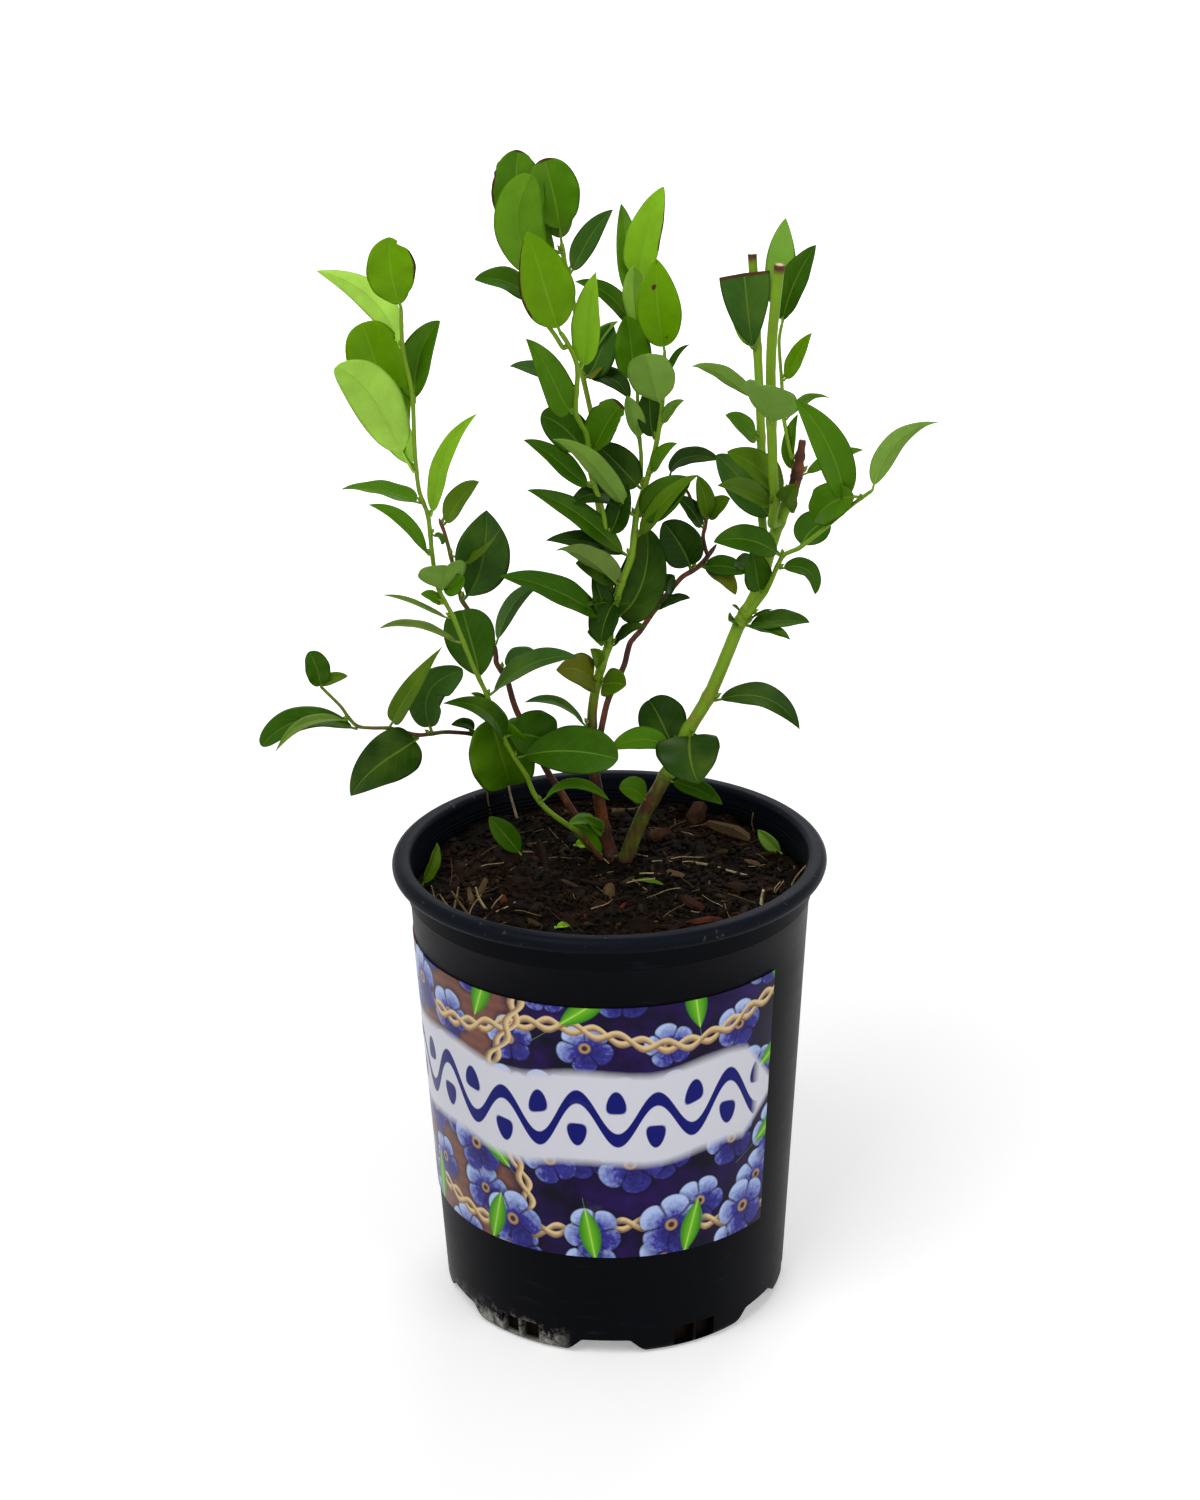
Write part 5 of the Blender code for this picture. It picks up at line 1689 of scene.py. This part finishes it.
def build_crown(bark):
    """The gnarled base that the canes rise from."""
    bm = bmesh.new()
    bmesh.ops.create_icosphere(bm, subdivisions=5, radius=CROWN_RADIUS)
    points = []
    for vert in bm.verts:
        lump = 1.0 + 0.10 * noise.fractal(vert.co * 0.22, 0.7, 2.0, 4)
        points.append(vert.co * lump + Vector(CROWN_CENTRE))
    faces = [[vert.index for vert in face.verts] for face in bm.faces]
    bm.free()
    shells = Shells()
    shells.add(points, faces, [(0.0, 0.0, 0.0)] * len(points), [1.0] * len(points))
    place_piece(shells.piece("woody_crown", [bark]), "crown_bark", "root_crown")


# ---------------------------------------------------------------- things on the mix
def on_mix(x, z):
    """Where the sight line through (x, z) on the elevation sheet meets the mix."""
    way = (Vector((x, 0.0, z)) - EYE).normalized()
    point = EYE + way * ((SOIL_TOP - EYE.z) / way.z)
    for _ in range(5):
        point += way * ((soil_height(point.x, point.y) - point.z) / way.z)
    return point


def resting(foot, tip, lean):
    """Both ends of a thing on the mix."""
    start = on_mix(*foot)
    if lean is None:
        return start, on_mix(*tip)
    return start, placed((tip[0], start.y + lean, tip[1]))


def build_litter(leaf_mats, earth):
    """Crumbs, splinters and straws strewn by a seed, then the single things of the tables."""
    bark = {"dark": soil_finish("dark_bark", "dark", 260.0, 0.5)}
    for kind, name in (("red", "red_bark"), ("brown", "brown_bark"), ("wood", "pale_wood")):
        bark[kind] = soil_finish(name, kind, 260.0)
    straw = soil_finish("dry_straw", "straw", 500.0)
    scatter_chips("earth_crumbs", earth, 2600, (0.8, 3.4), (0.7, 2.8), (0.6, 2.2), 5)
    scatter_chips("bark_splinters", bark["dark"], 230, (2.0, 11.0), (0.8, 3.6), (0.8, 2.6), 6)
    scatter_chips("red_bark_splinters", bark["red"], 34, (2.5, 8.0), (0.9, 2.6), (0.6, 1.6), 7)
    scatter_chips("pale_wood_slivers", bark["wood"], 70, (1.5, 6.0), (0.4, 1.4), (0.3, 0.9), 8)
    scatter_straws("dry_straws", straw, 60, (4.0, 17.0), 0.28, 9)
    rng = random.Random(21)
    for kind, finish in bark.items():
        shells = Shells()
        for place, size, heading, tilt, sort in BIG_CHIPS:
            if sort == kind:
                centre = on_mix(*place) + Vector((0, 0, size[2] * 0.25))
                add_chip(shells, centre, size, heading, tilt, rng.uniform(-0.2, 0.2), rng)
        place_piece(shells.piece(f"big_chips_{kind}", [finish], 32), "growing_mix")
    shells = Shells()
    for count, (foot, tip, lean, radius) in enumerate(STALKS):
        start, end = resting(foot, tip, lean)
        add_straw(shells, start, end, radius, 0.8, 40 + count, 8)
    place_piece(shells.piece("standing_stalks", [straw], 60), "growing_mix")
    for count, (foot, tip, lean, width, face, tone) in enumerate(FALLEN_LEAVES):
        start, end = resting(foot, tip, lean)
        lift = Vector((0, 0, 0.8))
        blade = Blade(width, 900 + count, {})
        blade.lie(start + lift, end + lift, Vector(face))
        shells = Shells()
        blade.add_to(shells, 26, 6, (0, 1))
        place_piece(shells.piece(f"fallen_leaf_{count + 1}", leaf_mats[tone]), leaf_slot(tone))


# ---------------------------------------------------------------- stage
def build_floor():
    """A pale floor that keeps the pot's shadow and runs into the white background."""
    bm = bmesh.new()
    bmesh.ops.create_grid(bm, x_segments=1, y_segments=1, size=6.0)
    floor = add_object("floor", mesh_of(bm, "floor"))
    paper = Finish("pale_floor", roughness=0.9, specular=0.0)
    paper.shade("Base Color", (0.80, 0.80, 0.80, 1.0))
    paper.shade("Emission Color", (1.0, 1.0, 1.0, 1.0))
    x, y, _ = paper.split(paper.place)
    away = (x * x + y * y).power(0.5)
    paper.shade("Emission Strength",
                seen_directly(paper.tree) * (away.step(0.30, 1.6) * 0.9 + 0.32))
    floor.data.materials.append(paper.material)


def build_lights():
    """A plain world, white where it is seen, and three soft lamps."""
    world = bpy.data.worlds.new("studio")
    bpy.context.scene.world = world
    world.use_nodes = True
    back = world.node_tree.nodes["Background"]
    back.inputs["Color"].default_value = (1.0, 1.0, 1.0, 1.0)
    feed(world.node_tree, seen_directly(world.node_tree) * 0.62 + 0.38, back.inputs["Strength"])
    for name, place, size, energy in (
            ("key", (-0.55, -0.75, 1.45), 0.9, 13.0), ("fill", (0.95, -0.85, 0.75), 1.0, 5.0),
            ("back", (0.25, 1.05, 1.15), 0.9, 7.0)):
        lamp = bpy.data.lights.new(name, "AREA")
        lamp.size = size
        lamp.energy = energy
        holder = add_object(name, lamp)
        holder.location = place
        aim = Vector((0.0, 0.0, 0.22)) - Vector(place)
        holder.rotation_euler = aim.to_track_quat("-Z", "Y").to_euler()


def build_camera():
    """The camera at EYE, looking down at the pot and rolled by a hair."""
    lens = bpy.data.cameras.new("camera")
    lens.lens = VIEW_LENS
    lens.sensor_width = 36.0
    lens.clip_end = 50.0
    camera = add_object("camera", lens)
    camera.location = EYE * MM
    tilt = Matrix.Rotation(math.radians(90 - VIEW_PITCH_DEG), 3, "X")
    roll = Matrix.Rotation(math.radians(-VIEW_ROLL_DEG), 3, "Z")
    camera.rotation_euler = (tilt @ roll).to_euler()
    bpy.context.scene.camera = camera
    bpy.context.scene.view_settings.view_transform = "Standard"


build_floor()
build_lights()
build_camera()
build_pot()
build_label()
leaf_finishes = leaf_materials()
stem_bark = bark_finish()
build_plant(leaf_finishes, stem_bark)
build_crown(stem_bark)
earth_finish = soil_finish("earth", "earth", 420.0, 0.6)
build_soil(earth_finish)
build_litter(leaf_finishes, earth_finish)
